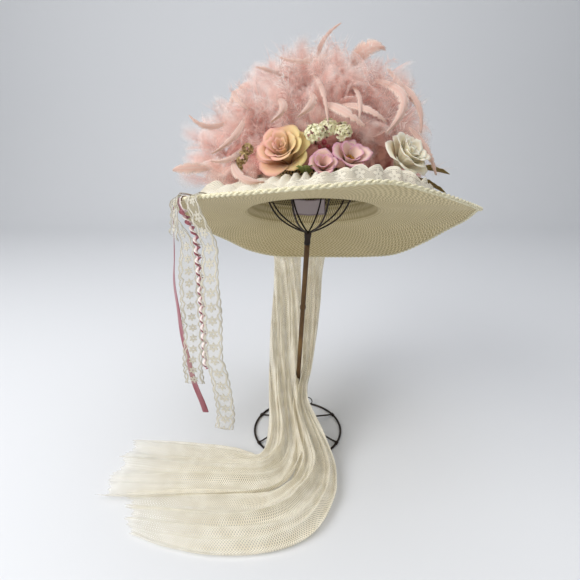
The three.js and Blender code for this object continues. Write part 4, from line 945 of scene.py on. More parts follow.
# long curled feathers on the fluff: root, bend and tip in the room, half width of the vane, roll of its edges
curls = [((22, 20, 562), (29, 8, 584), (48, 0, 600), 4, 0.3),
         ((66, 20, 550), (79, 0, 572), (100, -10, 574), 13, 0.5),
         ((33, -10, 566), (6, -30, 556), (-24, -30, 560), 5, 0.4),
         ((15, -25, 543), (24, -68, 522), (29, -96, 490), 4.2, 0.9),
         ((61, -30, 530), (66, -70, 514), (62, -98, 489), 4.2, 0.8),
         ((90, -10, 538), (117, -62, 516), (97, -90, 480), 9, 0.7),
         ((26, -60, 510), (44, -92, 501), (67, -104, 486), 8, 0.4),
         ((46, -50, 508), (70, -84, 503), (92, -94, 490), 6, 0.4),
         ((9, -55, 522), (12, -86, 510), (-4, -94, 495), 6, 0.8),
         ((-83, -5, 526), (-77, -40, 516), (-62, -55, 504), 5, 0.8),
         ((-90, -30, 490), (-111, -50, 484), (-132, -50, 496), 5, 0.5),
         ((-68, -55, 492), (-76, -86, 474), (-101, -92, 456), 5, 0.8),
         ((-68, -80, 461), (-79, -98, 451), (-101, -98, 448), 4.5, 0.7),
         ((-77, -92, 448), (-66, -118, 433), (-42, -126, 429), 7, 0.6),
         ((118, -5, 536), (138, -40, 513), (142, -60, 478), 6, 0.5),
         ((130, -45, 484), (148, -66, 460), (162, -72, 431), 6, 0.5),
         ((-112, -40, 435), (-137, -50, 436), (-157, -50, 434), 9, 0.3),
         ((-33, -50, 518), (-20, -80, 506), (-33, -92, 490), 6, 0.9),
         ((-15, -10, 540), (-37, -30, 546), (-53, -30, 550), 4, 0.4),
         ((108, 0, 552), (126, -20, 528), (141, -30, 508), 5, 0.5),
         ((-60, 60, 540), (-84, 72, 530), (-104, 70, 506), 9, 0.6),
         ((10, 90, 560), (4, 116, 540), (-14, 128, 508), 9, 0.7),
         ((70, 90, 545), (92, 112, 530), (98, 122, 500), 9, 0.6),
         ((140, 60, 500), (164, 74, 484), (172, 72, 458), 8, 0.6)]


def vanePiece(index, place):
    root, bend, tip, half, roll = place
    root, bend, tip = (np.array(part, float) for part in (root, bend, tip))
    pull = 2 * bend - (root + tip) / 2
    t = np.linspace(0, 1, 9)[:, None]
    path = (1 - t) ** 2 * root + 2 * t * (1 - t) * pull + t ** 2 * tip
    random = np.random.default_rng(90 + index)
    notches = random.uniform(0.3, 1, 5)

    def shape(u, v):
        centre = spline(path, v)
        along = unit(spline(path, v + 0.03) - spline(path, v - 0.03))
        side = unit(np.cross(along, [0.12, -0.93, 0.35]))
        normal = np.cross(along, side)
        hand = (u - 0.5) * 2
        out = np.abs(hand)
        notch = sum(np.exp(-((v - n) * 60) ** 2) for n in notches)
        width = half * 0.9 * np.sin(math.pi * (0.05 + 0.92 * v ** 0.75)) ** 0.85
        width *= (1 - 0.4 * notch * out) * (1 + 0.1 * ((v * 37 + index) % 1.0 - 0.5))
        barbs = 0.35 * np.sin(v * 150 + out * 7) * out
        rolled = roll * 0.55 * half * out ** 1.5 * (0.4 + v) + barbs * 0.3
        points = centre + side * (hand * width + 0.1 * barbs)[:, None] + normal * rolled[:, None]
        return points + along * (out * half * 0.35)[:, None]

    return gridPiece("vane", 8, 58, shape)


vanes = joinPieces([vanePiece(i, place) for i, place in enumerate(curls)], "boa_curled_feathers")
giveWall(vanes, 0.35)
# a curled feather: glossier than down, pale along its quill and tips, ribbed by its barbs
featherPink, tree, shader = newMaterial("curled pink feather", "#eab9ae", 0.55,
                                        {"Sheen Weight": 0.5, "Anisotropic": 0.5})
u, v = uvPlace(tree)
side = addNode(tree, "Math", [addNode(tree, "Math", [u, 0.5], "SUBTRACT")], "ABSOLUTE")
barbs = addNode(tree, "Math", [v, 330.0, addNode(tree, "Math", [side, -60.0], "MULTIPLY")], "MULTIPLY_ADD")
barbs = addNode(tree, "Math", [barbs], "SINE")
tone = addNode(tree, "Math", [side, 1.7, addNode(tree, "Math", [barbs, 0.13], "MULTIPLY")], "MULTIPLY_ADD")
color = addNode(tree, "ValToRGB", [tone], stops=[(0.01, "#f8e4d8"), (0.06, "#eec6b6"), (0.5, "#f6dacb"),
                                                 (0.9, "#fdefe5")])
relief = addNode(tree, "Bump", {"Height": barbs, "Strength": 0.5, "Distance": 0.0004})
setInputs(shader, {"Base Color": color, "Normal": relief})
# the vane splits between its barbs, more and more towards its edges
slant = addNode(tree, "Math", [v, 70.0, addNode(tree, "Math", [side, -24.0], "MULTIPLY")], "MULTIPLY_ADD")
streak = addNode(tree, "TexNoise", {"Vector": addNode(tree, "CombineXYZ", [slant]), "Scale": 1.0,
                                    "Detail": 3.0})
fringe = addNode(tree, "Math", [side, 1.8, addNode(tree, "Math", [streak, 1.5], "MULTIPLY")], "MULTIPLY_ADD")
letLightThrough(shader, color, 0.35, addNode(tree, "MapRange", [fringe, 1.35, 1.6, 1.0, 0.0]))
finishPiece(vanes, featherPink)
print("boa fluffed")

# flowers: petals are curved sheets with a rolled edge, set round the axis in spiral layers
# layer: petals, lean at the root and at the tip in degrees, length and half width as shares, roll of the edge
roseLayers = [(3, -4, 2, 0.68, 95, 6), (4, 0, 8, 0.78, 80, 12), (5, 5, 16, 0.88, 70, 24),
              (6, 11, 28, 0.97, 58, 40), (5, 20, 42, 1.02, 60, 52), (5, 34, 62, 0.98, 52, 58)]
trumpetLayers = [(3, 18, 30, 0.9, 85, 42), (4, 27, 52, 1.0, 68, 54)]


def petalShape(flower, layer, k, seed):
    number, lean0, lean1, share, half, roll = layer
    random = np.random.default_rng(seed)
    length = flower["radius"] * share * random.uniform(0.94, 1.06)
    lean0 = math.radians(lean0 + random.uniform(-5, 5))
    lean1 = math.radians(lean1 + random.uniform(-6, 6))
    roll = math.radians(roll)
    heading = fullTurn * (k + 0.37 * number + random.uniform(-0.08, 0.08)) / number
    ripple = flower["ripple"] * random.uniform(0.7, 1.2)

    def shape(u, v):
        steps = np.linspace(0, 1, 61)
        lean = lean0 + (lean1 - lean0) * steps + roll * np.clip((steps - 0.72) / 0.28, 0, 1) ** 1.6
        out = np.concatenate([[0], np.cumsum(np.sin(lean[:-1]))]) / 60 * length + 1.2
        up = np.concatenate([[0], np.cumsum(np.cos(lean[:-1]))]) / 60 * length
        side = (u - 0.5) * 2
        reach = v * (1 - 0.16 * side ** 2 + 0.05 * np.cos(side * 3))
        width = 0.3 + 0.7 * np.sin(math.pi * (0.08 + 0.55 * v))
        angle = heading + side * math.radians(half) * width
        radius = np.interp(reach, steps, out) * (1 - 0.08 * side ** 2)
        height = np.interp(reach, steps, up)
        wave = ripple * v ** 2 * (np.sin(side * 7 + seed) + 0.6 * np.sin(side * 13 + seed * 2))
        return roundPoints(angle, radius + wave * 0.5, height + wave * 0.6)

    return shape


def pointing(bearing, lift):
    # unit vector towards a bearing, raised by a lift
    return roundPoints(bearing, math.cos(lift), math.sin(lift))


def setFlower(points, flower):
    # from the flower's own frame to its place on the crown, where its axis has a bearing and a lift
    bearing, up = math.radians(flower["bearing"]), flower["up"]
    axis = pointing(bearing, math.radians(flower["lift"]))
    side = unit(np.cross([0, 0, 1.0], axis))
    radius = ovalRadius(hat["headA"], hat["headB"], bearing) * crownShare(up)
    foot = roundPoints(bearing, radius, up * hat["crown"]) + flower["shift"]
    foot = foot + axis * (flower["radius"] * flower["out"] * flower["back"] + 0.75)
    return toRoom(foot + np.asarray(points) @ np.array([side, np.cross(axis, side), axis]))


def flowerPiece(name, flower, layers, material, node):
    petals = []
    for n, layer in enumerate(layers):
        for k in range(layer[0]):
            shape = petalShape(flower, layer, k + n * 0.5, n * 10 + k + flower["seed"])
            petals.append(gridPiece("petal", 10, 9, lambda u, v: setFlower(shape(u, v), flower)))
    flowerMesh = joinPieces(petals, name)
    giveWall(flowerMesh, 0.45)
    return finishPiece(flowerMesh, material, [node])


def petalMaterial(name, root, body, edge, other, across):
    # silk petals: the colour runs from the throat to the edge, and drifts from left to right
    material, tree, shader = newMaterial(name, body, 0.6, {"Sheen Weight": 0.35, "Subsurface Weight": 0.12,
                                                           "Subsurface Radius": (0.004, 0.002, 0.0015)})
    u, v = uvPlace(tree)
    place = addNode(tree, "SeparateXYZ", [addNode(tree, "TexCoord").outputs["Object"]])
    petal = addNode(tree, "ValToRGB", [v], stops=[(0.24, root), (0.5, body), (0.84, body), (1.0, edge)])
    drift = addNode(tree, "MapRange", [place, *((origin[0] + x) / 1000 for x in across)])
    color = addNode(tree, "Mix", {0: drift, 6: petal, 7: hexColor(other)}, data_type="RGBA").outputs[2]
    veins = addNode(tree, "Math", [addNode(tree, "Math", [u, 95.0], "MULTIPLY")], "SINE")
    relief = addNode(tree, "Bump", {"Height": veins, "Strength": 0.12, "Distance": 0.0003})
    setInputs(shader, {"Base Color": color, "Normal": relief})
    letLightThrough(shader, color, 0.3)
    return material


# each flower: its shape and place, its layers, its material slot and its petals' name and colours
flowers = {
    # the peach rose's deep root colour is partly its own and partly painted shade between its petals
    "peach_rose": ({"radius": 44, "bearing": 251, "up": 0.36, "lift": 22, "out": 0.75, "back": 0.05,
                    "ripple": 1.0, "seed": 3, "shift": (2, 0, 3)}, roseLayers, "petal_peach",
                   ("peach silk petal", "#cf7f4e", "#f3cba8", "#efb8aa", "#f0da96", (-30, -2))),
    "white_rose": ({"radius": 41, "bearing": 305, "up": 0.47, "lift": 28, "out": 0.75, "back": 0.05,
                    "ripple": 1.2, "seed": 31, "shift": (42, -1, -9)}, roseLayers, "petal_white",
                   ("white silk petal", "#c2ac72", "#faf2da", "#fffcf0", "#faf4e2", (90, 260))),
    "pink_lisianthus_1": ({"radius": 31, "bearing": 282, "up": 0.3, "lift": 30, "out": 1.1, "back": 0.1,
                           "ripple": 1.8, "seed": 52, "shift": (13, -3, 3)}, trumpetLayers, "petal_pink",
                          ("pale lilac petal", "#a86c20", "#f0d3c4", "#d793b2", "#f1d6cf", (40, 260))),
    "pink_lisianthus_2": ({"radius": 23, "bearing": 268.5, "up": 0.24, "lift": 22, "out": 2.4, "back": 0.3,
                           "ripple": 1.4, "seed": 71, "shift": (9, -2, -4)}, trumpetLayers, "petal_pink",
                          ("deep lilac petal", "#b07a48", "#efc9ba", "#d28fae", "#eecdc4", (0, 200))),
}
for name, (flower, layers, slot, colors) in flowers.items():
    flowerPiece(name + "_petals", flower, layers, petalMaterial(*colors), name)

# throat of the open lilac flower: short stamens with thick heads
stamen = {"count": 14, "turn": 2.4, "start": 1.2, "spread": 0.35}
stamens = []
throat = flowers["pink_lisianthus_1"][0]
for i in range(stamen["count"]):
    turn = i * stamen["turn"]
    out = stamen["start"] + stamen["spread"] * math.sqrt(i)
    x, y = math.cos(turn) * out, math.sin(turn) * out
    path = setFlower([(0, 0, 2), (x, y, 9), (x * 2, y * 2, 14)], throat)
    stamens.append(tubePiece("stamen", path, lambda s: 0.35 + 0.5 * (s > 0.8), 5, 6))
yellowMaterial = newMaterial("dyed cotton stamen", "#b8842f", 0.7)[0]
finishPiece(joinPieces(stamens, "lisianthus_stamens"), yellowMaterial)
print("petals curled")

# filler flowers: tiny five-petalled florets with dark hearts, packed into heads on brown stems
fillers = [("filler_flower_1", 264.5, 0.6, 12, 3.1, 10), ("filler_flower_2", 272.5, 0.69, 14, 2.8, 9.5),
           ("filler_flower_3", 280.5, 0.64, 14, 2.9, 9.5)]


def floretPoints(size):
    # one floret: five cupped petals as thin closed lenses, pointing along z
    points, faces = [], []
    for k in range(5):
        turn = fullTurn * k / 5
        out, side = roundPoints(turn, 1, 0), roundPoints(turn + math.pi / 2, 1, 0)
        rows = [(0.05, 0.12, 0.1), (0.6, 0.34, 0.24), (1.0, 0.2, 0.05)]
        start = len(points)
        points.append(out * 0)
        for along, half, lift in rows:
            for hand in (-1, 0, 1):
                points.append(out * along + side * half * hand + np.array([0, 0, lift + 0.12 * abs(hand)]))
            points.append(out * along + np.array([0, 0, lift - 0.1]))
        for row in range(2):
            a, b = start + 1 + row * 4, start + 5 + row * 4
            for n, m in ((0, 1), (1, 2), (2, 3), (3, 0)):
                faces += [(a + n, a + m, b + m), (a + n, b + m, b + n)]
        first, last = start + 1, start + 9
        faces += [(start, first + (n + 1) % 4, first + n) for n in range(4)]
        faces += [(last, last + 1, last + 3), (last + 1, last + 2, last + 3)]
    return np.array(points) * size, np.array(faces)


def bunch(centre, radius, count, size, seed, reach=1.0, squash=(1, 1, 1)):
    random = np.random.default_rng(seed)
    points, faces = floretPoints(size)
    copies = []
    for i in range(count):
        turn = i * goldenTurn
        rise = 1 - reach * 2 * (i + 0.5) / count
        level = math.sqrt(max(1 - rise * rise, 0))
        normal = unit(roundPoints(turn, level, rise) + random.normal(0, 0.12, 3))
        side = unit(np.cross(normal, random.normal(0, 1, 3)))
        middle = np.array(centre) + normal * radius * squash * random.uniform(0.85, 1.05)
        copies.append(middle + points @ np.array([side, np.cross(normal, side), normal]))
    allFaces = (faces[None] + (np.arange(count) * len(points))[:, None, None]).reshape(-1, 3)
    return np.concatenate(copies), allFaces


creamMaterial = mottledMaterial("dried cream floret", "#efe8cc", 0.75, 260.0, 3.0,
                                [(0.35, "#dcd8a8"), (0.6, "#f3f0d2")], extra={"Sheen Weight": 0.3})
stemMaterial = newMaterial("brown paper stem", "#5c4a26", 0.8)[0]
for name, bearing, up, lift, out, radius in fillers:
    place = {"radius": radius, "bearing": bearing, "up": up, "lift": lift, "out": out, "back": 1,
             "shift": (8, 0, 0)}
    points, faces = bunch((0, 0, -radius * 0.15), radius, 9, 5.7, int(bearing), 0.32, (1.05, 1.05, 0.5))
    head = arrayPiece(name + "_head", setFlower(points, place), faces)
    finishPiece(head, creamMaterial, [name], smooth=False)
    hearts = []
    for i in range(9):
        turn = i * goldenTurn
        rise = 1 - 0.64 * (i + 0.5) / 9
        level = math.sqrt(1 - rise * rise) * 1.14
        at = roundPoints(turn, level, rise * 0.55 - 0.1) * radius
        path = setFlower([at * 0.2 - [0, 0, 3], at * 0.6, at], place)
        hearts.append(tubePiece("heart", path, lambda s: 0.35 + 0.4 * (s > 0.7), 6, 5))
    stem = [(0, 0, -radius * out + 1), (1, 1.5, -radius * out * 0.5), (0.3, 0.4, -1), (0, 0, radius * 0.2)]
    hearts.append(tubePiece("stem", setFlower(stem, place), 1.1, 6, 14))
    finishPiece(joinPieces(hearts, name + "_stem"), stemMaterial)

# dried brownish florets and red berries between the flowers: centre, radius and number of florets
dried = [((-86, -112, 44), 6, 11), ((-79, -110, 55), 5, 9), ((-91, -108, 34), 4, 8)]
dryMaterial = mottledMaterial("dried brown floret", "#a58a5c", 0.85, 320.0, 3.0,
                              [(0.35, "#7d6238"), (0.6, "#bda675")])
heads = [bunch(centre, radius, count, 4.2, 300 + i) for i, (centre, radius, count) in enumerate(dried)]
starts = np.cumsum([0] + [len(points) for points, faces in heads])
faces = np.concatenate([faces + start for (points, faces), start in zip(heads, starts)])
florets = arrayPiece("dried_florets", toRoom(np.concatenate([points for points, _ in heads])), faces)
finishPiece(florets, dryMaterial, smooth=False)
berryMaterial = newMaterial("lacquered berry", "#a8434e", 0.3)[0]
beads = []
for centre, size in (((8, -112, 62), 3.2), ((13, -110, 58), 2.6), ((3, -111, 57), 2.4)):
    path = toRoom(np.array(centre) + np.outer(np.linspace(-1, 1, 13), [0, -size * 0.5, size * 0.87]))
    swell = size * np.sqrt(np.maximum(1 - np.linspace(-1, 1, 13) ** 2, 0.03))
    beads.append(tubePiece("berry", path, swell, 12, 12))
finishPiece(joinPieces(beads, "berries"), berryMaterial)
print("fillers bunched")

# leaves: bearing, reach as a share of the brim, height as a share of the crown, lift, size,
# colours of the blade and the veins
leaves = [("green_leaf", 263.5, 0.56, 0.24, 6, 1.1, ("#8a9a58", "#5c6b34")),
          ("brown_leaf_1", 344, 0.66, 0.5, -6, 1.45, ("#9c8a58", "#63502c")),
          ("brown_leaf_2", 348, 0.66, 0.4, -20, 1.45, ("#93804c", "#5b4828"))]


def leafPiece(name, bearing, reach, up, lift, size, colors):
    start, rise = math.radians(bearing), math.radians(lift)
    root = roundPoints(start, 200 * reach, hat["crown"] * up)
    ahead = pointing(start, rise)
    wide = roundPoints(start + math.pi / 2, 1, 0)
    length = 34 * size

    def shape(u, v):
        side = (u - 0.5) * 2
        half = 9 * size ** 0.5 * np.sin(math.pi * (0.03 + 0.95 * v)) ** 0.8 * (1 + 0.05 * np.sin(v * 40))
        centre = root + np.outer(length * v, ahead)
        wave = 0.5 * np.sin(v * 19 + side * 2) * np.abs(side)
        height = half * 0.34 * np.abs(side) - length * 0.12 * v ** 2 + wave
        return toRoom(centre + (half * side)[:, None] * wide + height[:, None] * [0, 0, 1])

    piece = gridPiece(name + "_blade", 18, 30, shape)
    giveWall(piece, 0.5)
    # pressed cloth: matte, with darker veins that run out from a creased midrib
    material, tree, shader = newMaterial("cloth leaf, " + name.replace("_", " "), colors[0], 0.6)
    u, v = uvPlace(tree)
    side = addNode(tree, "Math", [addNode(tree, "Math", [u, 0.5], "SUBTRACT")], "ABSOLUTE")
    vein = addNode(tree, "Math", [v, 9.0, addNode(tree, "Math", [side, -5.0], "MULTIPLY")], "MULTIPLY_ADD")
    vein = addNode(tree, "Math", [addNode(tree, "Math", [vein, 0.5], "PINGPONG"), 2.5], "MULTIPLY")
    rib = addNode(tree, "Math", [addNode(tree, "Math", [side, 9.0], "MULTIPLY"), vein], "MINIMUM")
    color = addNode(tree, "ValToRGB", [rib], stops=[(0.1, colors[1]), (0.5, colors[0])])
    relief = addNode(tree, "Bump", {"Height": rib, "Strength": 0.5, "Distance": 0.0006})
    setInputs(shader, {"Base Color": color, "Normal": relief})
    finishPiece(piece, material, [name])


for leaf in leaves:
    leafPiece(*leaf)
print("leaves creased")

# lace: a sheer net ground with dense flowers in rows, and thick outlining thread along its scallops.
# The repeats are drawn about a third larger than the real ones so that they show. Sizes are in metres.
lace = {"cell": 0.0022, "scallop": 11}
# start: u where x is 0; petal: reach and least radius of a flower; row: height of the ruffle's flowers
stripLace = {"tint": "#c9c2b0", "start": 0.5, "repeat": 0.017, "lobes": 3.0, "petal": (0.00372, 0.00248),
             "sheer": (0.0715, 0.169)}
ruffleLace = {"tint": "#e0d9c8", "start": 0.0, "repeat": 0.24 / 11, "lobes": 2.5, "petal": (0.0042, 0.0024),
              "sheer": (0.35, 0.85), "row": 0.64}


def laceMaterial(name, width, length, kind):
    # cotton lace: matte threads, half open between the flowers, which run along the strip or the ruffle
    material, tree, shader = newMaterial(name, kind["tint"], 0.75, {"Sheen Weight": 0.3})
    u, v = uvPlace(tree)
    x = addNode(tree, "Math", [addNode(tree, "Math", [u, kind["start"]], "SUBTRACT"), width], "MULTIPLY")
    y = addNode(tree, "Math", [v, length], "MULTIPLY")
    run = addNode(tree, "Math", [x if "row" in kind else y, kind["repeat"]], "FLOORED_MODULO")
    run = addNode(tree, "Math", [run, kind["repeat"] / 2], "SUBTRACT")
    if "row" in kind:
        spot = [run, addNode(tree, "Math", [y, length * kind["row"]], "SUBTRACT")]
        rims = [addNode(tree, "Math", [v, 0.9], "GREATER_THAN")]
    else:
        spot = [x, run]
        # a wavy stem along both sides, and a firm edge
        wave = addNode(tree, "Math", [y, fullTurn / kind["repeat"]], "MULTIPLY")
        wave = addNode(tree, "Math", [addNode(tree, "Math", [wave], "SINE"), 0.0014], "MULTIPLY")
        out = addNode(tree, "Math", [x], "ABSOLUTE")
        stem = addNode(tree, "Math", [addNode(tree, "Math", [out, width * 0.36], "SUBTRACT"), wave])
        stem = addNode(tree, "Math", [stem], "ABSOLUTE")
        rims = [addNode(tree, "Math", [stem, 0.0011], "LESS_THAN"),
                addNode(tree, "Math", [out, width * 0.455], "GREATER_THAN")]
    away = addNode(tree, "Math", [spot[1], spot[1]], "MULTIPLY")
    away = addNode(tree, "Math", [spot[0], spot[0], away], "MULTIPLY_ADD")
    away = addNode(tree, "Math", [away], "SQRT")
    petal = addNode(tree, "Math", [addNode(tree, "Math", spot, "ARCTAN2"), kind["lobes"]], "MULTIPLY")
    petal = addNode(tree, "Math", [addNode(tree, "Math", [petal], "COSINE")], "ABSOLUTE")
    petal = addNode(tree, "Math", [petal, *kind["petal"]], "MULTIPLY_ADD")
    dense = addNode(tree, "Math", [addNode(tree, "Math", [away, petal], "LESS_THAN"),
                                   addNode(tree, "Math", [away, 0.0012], "GREATER_THAN")],
                    "MULTIPLY")
    for rim in rims:
        dense = addNode(tree, "Math", [dense, rim], "MAXIMUM")
    cells = []
    for way in ("ADD", "SUBTRACT"):
        slanted = addNode(tree, "Math", [addNode(tree, "Math", [x, y], way), fullTurn / lace["cell"]],
                          "MULTIPLY")
        cells.append(addNode(tree, "Math", [slanted], "SINE"))
    ground = addNode(tree, "MapRange", [addNode(tree, "Math", cells, "MAXIMUM"), 0.2, 0.9, *kind["sheer"]])
    cover = addNode(tree, "Math", [ground, addNode(tree, "Math", [dense, 0.97], "MULTIPLY")], "MAXIMUM")
    relief = addNode(tree, "Bump", {"Height": dense, "Strength": 0.6, "Distance": 0.0005})
    setInputs(shader, {"Alpha": cover, "Normal": relief})
    return material


# outlining thread: twisted cotton, matte with a fine fuzz
laceThread = mottledMaterial("cotton outlining thread", "#e9e3d2", 0.7, 900.0, 2.0, (), (0.3, 0.0003),
                             {"Sheen Weight": 0.3})
greyThread = mottledMaterial("thin cotton thread", "#b3ab98", 0.7, 900.0, 2.0, (), (0.3, 0.0003),
                             {"Sheen Weight": 0.3})

# ruffle: stands on the brim along the front and right of the trimming; rows: bearing, height and brim share
ruffleRows = np.array([(258, 0.35, 0.6), (271, 0.65, 0.58), (283, 0.95, 0.54), (298, 1.15, 0.55),
                       (317, 1.2, 0.58), (342, 0.8, 0.64)])


def rufflePoints(u, v):
    bearing = 258 + 84 * u
    angle = np.radians(bearing)
    height = 27 * np.interp(bearing, ruffleRows[:, 0], ruffleRows[:, 1])
    share = np.interp(bearing, ruffleRows[:, 0], ruffleRows[:, 2])
    scallops = 1 - 0.17 * (1 - np.abs(np.sin(u * math.pi * 11))) ** 1.5 * v ** 2
    wave = np.sin(u * fullTurn * 8.2 + 0.6 * np.sin(u * 21)) * (0.016 + 0.012 * np.sin(u * 13)) * v ** 0.8
    foot = brimAt(angle, share)
    place = brimAt(angle, share + wave * 1.6 - 0.05 * v ** 1.3)
    radius = np.hypot(foot[:, 0], foot[:, 1])
    place[:, 2] = brimTopAt(angle, radius) + 1.1 + height * v * scallops - 1.5 * v ** 3 * np.sin(u * 37) ** 2
    return toRoom(place)


ruffle = gridPiece("lace_ruffle_ground", 260, 14, rufflePoints)
giveWall(ruffle, 0.5)
edgeShare = np.linspace(0, 1, 241)
rope = [tubePiece("edge_thread", rufflePoints(edgeShare, np.full(241, level)), wire, 5, 480)
        for level, wire in ((0.995, 0.75), (0.86, 0.45), (0.42, 0.45))]
ruffleThreads = finishPiece(joinPieces(rope, "lace_ruffle_threads"), laceThread)
finishPiece(ruffle, laceMaterial("cotton lace, ruffle", 0.24, 0.027, ruffleLace),
            ["lace_ruffle"])

# strips that lie on the brim, pass over its edge and hang
plainStrip = {"layer": 0, "swayX": 0, "swayY": 0, "bow": 0, "twist": 0, "hold": 0, "wall": 0.4, "ripple": 0,
              "aside": 0, "swing": 0, "early": 1, "turned": 1}
strips = {
    "satin_ribbon": {"bearing": 188, "width": 10, "length": 330, "lap": 26, "swayX": 0.05, "swayY": 0.02,
                     "bow": -17, "twist": 1.4, "wall": 0.5, "ripple": 2.5, "early": 0.95},
    "lace_ribbon_1": {"bearing": 199, "width": 28, "length": 262, "lap": 30, "swayX": -0.03, "swayY": 0.02,
                      "bow": 2, "twist": 1.25, "ripple": 4, "aside": 15, "turned": 0.35},
    "twisted_ribbon": {"bearing": 222, "width": 10, "length": 208, "lap": 24, "bow": 1, "twist": 108,
                       "hold": 0.03, "wall": 0.5, "roll": 2.3, "aside": 15},
    "lace_ribbon_2": {"bearing": 232, "width": 23, "length": 286, "lap": 30, "swayX": -0.035, "bow": 2,
                      "twist": 0.6, "ripple": 4, "swing": 14, "aside": 14, "turned": 0.4},
    "lace_panel": {"bearing": 218, "width": 34, "length": 38, "lap": 36, "layer": 1, "swayX": -0.1,
                   "swayY": -0.08, "ripple": 2},
}
strips = {name: {**plainStrip, **strip} for name, strip in strips.items()}


def stripPoints(strip, u, v):
    angle = math.radians(strip["bearing"])
    edge = brimAt(angle, 1.0)
    tangent = unit((brimAt(angle + 0.02, 1.0) - brimAt(angle - 0.02, 1.0)) * [1, 1, 0])
    outward = np.array([tangent[1], -tangent[0], 0])
    lift = 1.2 + strip["layer"] * 1.6
    over = 5.1 + lift
    # out from the brim's edge and up from its top, along the strip's way over the edge
    crossing = np.array([(-strip["lap"], 1 + lift), (-strip["lap"] * 0.35, 1 + lift), (0.3, 2.2 + lift),
                         (over - 2.4, 2.4 + lift), (over + 0.3, 0.3), (over + 0.6, -4.8)])
    first = (strip["lap"] + 14) / (strip["lap"] + 14 + strip["length"])
    rows = edge + outward * crossing[:, :1]
    brimTop = brimTopAt(np.arctan2(rows[:, 1], rows[:, 0]), np.hypot(rows[:, 0], rows[:, 1])) - 1.2
    rows[:, 2] = crossing[:, 1] + np.where(np.arange(6) < 4, brimTop, edge[2])
    rows = toRoom(rows)
    across = unit(turnToRoom(tangent))
    share = np.clip((v - first) / (1 - first), 0, 1)
    fall = strip["length"] * share
    turn = strip["twist"] * np.clip((share - strip["hold"]) / strip["turned"], 0, 1)
    sway = strip["ripple"] * np.sin(share * 15 + strip["bearing"]) * share * 0.6
    swing = strip["swayX"] * fall + strip["bow"] * np.sin(math.pi * share ** strip["early"]) + sway * 0.4
    swing += strip["aside"] * np.clip(share * 6, 0, 1)
    swing += strip["swing"] * np.sin(np.clip((share - 0.64) / 0.36, 0, 1) * 2.3)
    hanging = rows[-1] + np.stack([swing, strip["swayY"] * fall + sway, -fall], 1)
    spun = np.stack([across[0] * np.cos(turn) - across[1] * np.sin(turn),
                     across[0] * np.sin(turn) + across[1] * np.cos(turn), across[2] * (1 - share)], 1)
    onBrim = (v < first)[:, None]
    wide = unit(np.where(onBrim, across, spun))
    centre = np.where(onBrim, spline(rows, np.clip(v / first, 0, 1)), hanging)
    cup = strip["ripple"] * 0.35 * np.sin(share * 23 + 1) * (2 * u - 1) ** 2
    side = (u - 0.5) * strip["width"]
    if "roll" in strip:
        # the ribbon is rolled into a trough, deeper the further it hangs
        bend = np.maximum(np.clip(share * 6, 0, 1), 0.02) / strip["roll"]
        cup = (1 - np.cos(side * bend)) / bend
        side = np.sin(side * bend) / bend
    return centre + wide * side[:, None] + unit(np.cross(wide, [0, 0, 1.0])) * cup[:, None]


def stripWave(strip, share, scallop):
    # a scalloped strip widens and narrows along its length
    run = share * (strip["length"] + strip["lap"])
    return 1 + scallop * (np.abs(np.sin(run / lace["scallop"] * math.pi)) - 0.6)


def stripPiece(name, strip, columns, rows, scallop):
    piece = gridPiece(name, columns, rows,
                      lambda u, v: stripPoints(strip, 0.5 + (u - 0.5) * stripWave(strip, v, scallop), v))
    giveWall(piece, strip["wall"])
    return piece


# satin: a glossy rose ribbon, ribbed across by its weft
satinMaterial, tree, shader = newMaterial("rose satin ribbon", "#9a5560", 0.32,
                                          {"Anisotropic": 0.6, "Sheen Weight": 0.3})
weft = addNode(tree, "Math", [addNode(tree, "Math", [uvPlace(tree)[1], 900.0], "MULTIPLY")], "SINE")
setInputs(shader, {"Normal": addNode(tree, "Bump", {"Height": weft, "Strength": 0.12, "Distance": 0.0002})})
satin = stripPiece("satin_ribbon_cloth", strips["satin_ribbon"], 6, 220, 0)
finishPiece(satin, satinMaterial, ["satin_ribbon"])

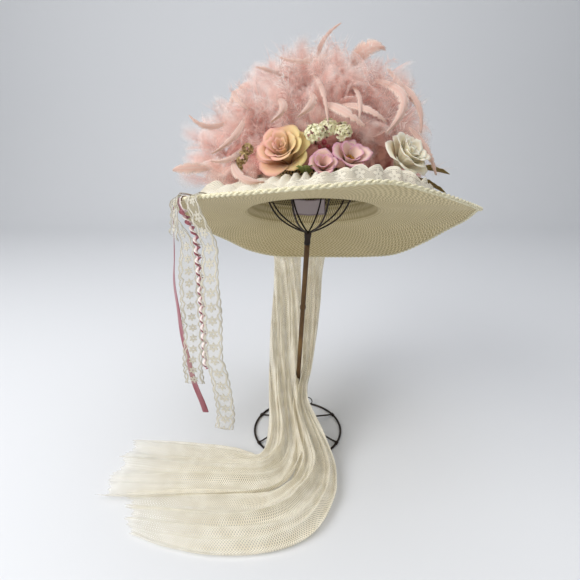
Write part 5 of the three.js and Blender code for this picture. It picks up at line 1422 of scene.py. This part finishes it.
# one edge of the wound ribbon is woven pale, so it reads as a pink and white spiral
woundMaterial, tree, shader = newMaterial("rose ribbon with a pale edge", "#a8606c", 0.38,
                                          {"Sheen Weight": 0.3})
edges = [(0.0, "#a05763"), (0.52, "#b36c77"), (0.6, "#efdcd8"), (1.0, "#f3e9e2")]
setInputs(shader, {"Base Color": addNode(tree, "ValToRGB", [uvPlace(tree)[0]], stops=edges)})
wound = stripPiece("twisted_ribbon_cloth", strips["twisted_ribbon"], 6, 320, 0)
finishPiece(wound, woundMaterial, ["twisted_ribbon"])

for name, across, length in (("lace_ribbon_1", 0.028, 0.306), ("lace_ribbon_2", 0.023, 0.330),
                             ("lace_panel", 0.034, 0.088)):
    strip = strips[name]
    ground = stripPiece(name + "_ground", strip, 12, 200 if length > 0.1 else 60, 0.14)
    groundMaterial = laceMaterial("cotton lace, " + name.replace("_", " "), across, length, stripLace)
    finishPiece(ground, groundMaterial, [name])
    run = np.linspace(0, 1, 321)
    wave = 0.5 * stripWave(strip, run, 0.14)
    rims = [tubePiece("rim_thread", stripPoints(strip, 0.5 + side * wave, run), 0.32, 5, 320)
            for side in (-1, 1)]
    rims = finishPiece(joinPieces(rims, name + "_threads"), greyThread)

# loops of the same net that stand beside the flowers: bearings, brim shares, height and ruffles along each
netLoops = [(214, 241, 0.56, 0.86, 19, 2.2), (236, 262, 0.6, 0.82, 9, 3.1), (268, 312, 0.6, 0.78, 7, 5.2),
            (308, 338, 0.62, 0.82, 11, 3.4)]


def netLoop(low, high, inner, outer, height, ruffles):
    def shape(u, v):
        angle = np.radians(low + (high - low) * u)
        share = inner + (outer - inner) * v + 0.02 * np.sin(u * 17 + v * 5)
        place = brimAt(angle, share)
        arch = np.sin(math.pi * v) ** 0.8 * np.sin(math.pi * np.clip(u, 0.02, 0.98)) ** 0.5
        wave = 0.75 + 0.25 * np.sin(u * fullTurn * ruffles + v * 2.5) + 0.08 * np.sin(u * 41 + v * 9)
        place[:, 2] = brimTopAt(angle, np.hypot(place[:, 0], place[:, 1])) + 0.8 + height * arch * wave
        return toRoom(place)

    return gridPiece("net_loop", 52, 14, shape)


loops = joinPieces([netLoop(*row) for row in netLoops], "net_loops")
giveWall(loops, 0.4)
finishPiece(loops, netMaterial("cotton net, loops", 0.09, 0.05, 0.22))
print("lace hung")


print("scene ready")
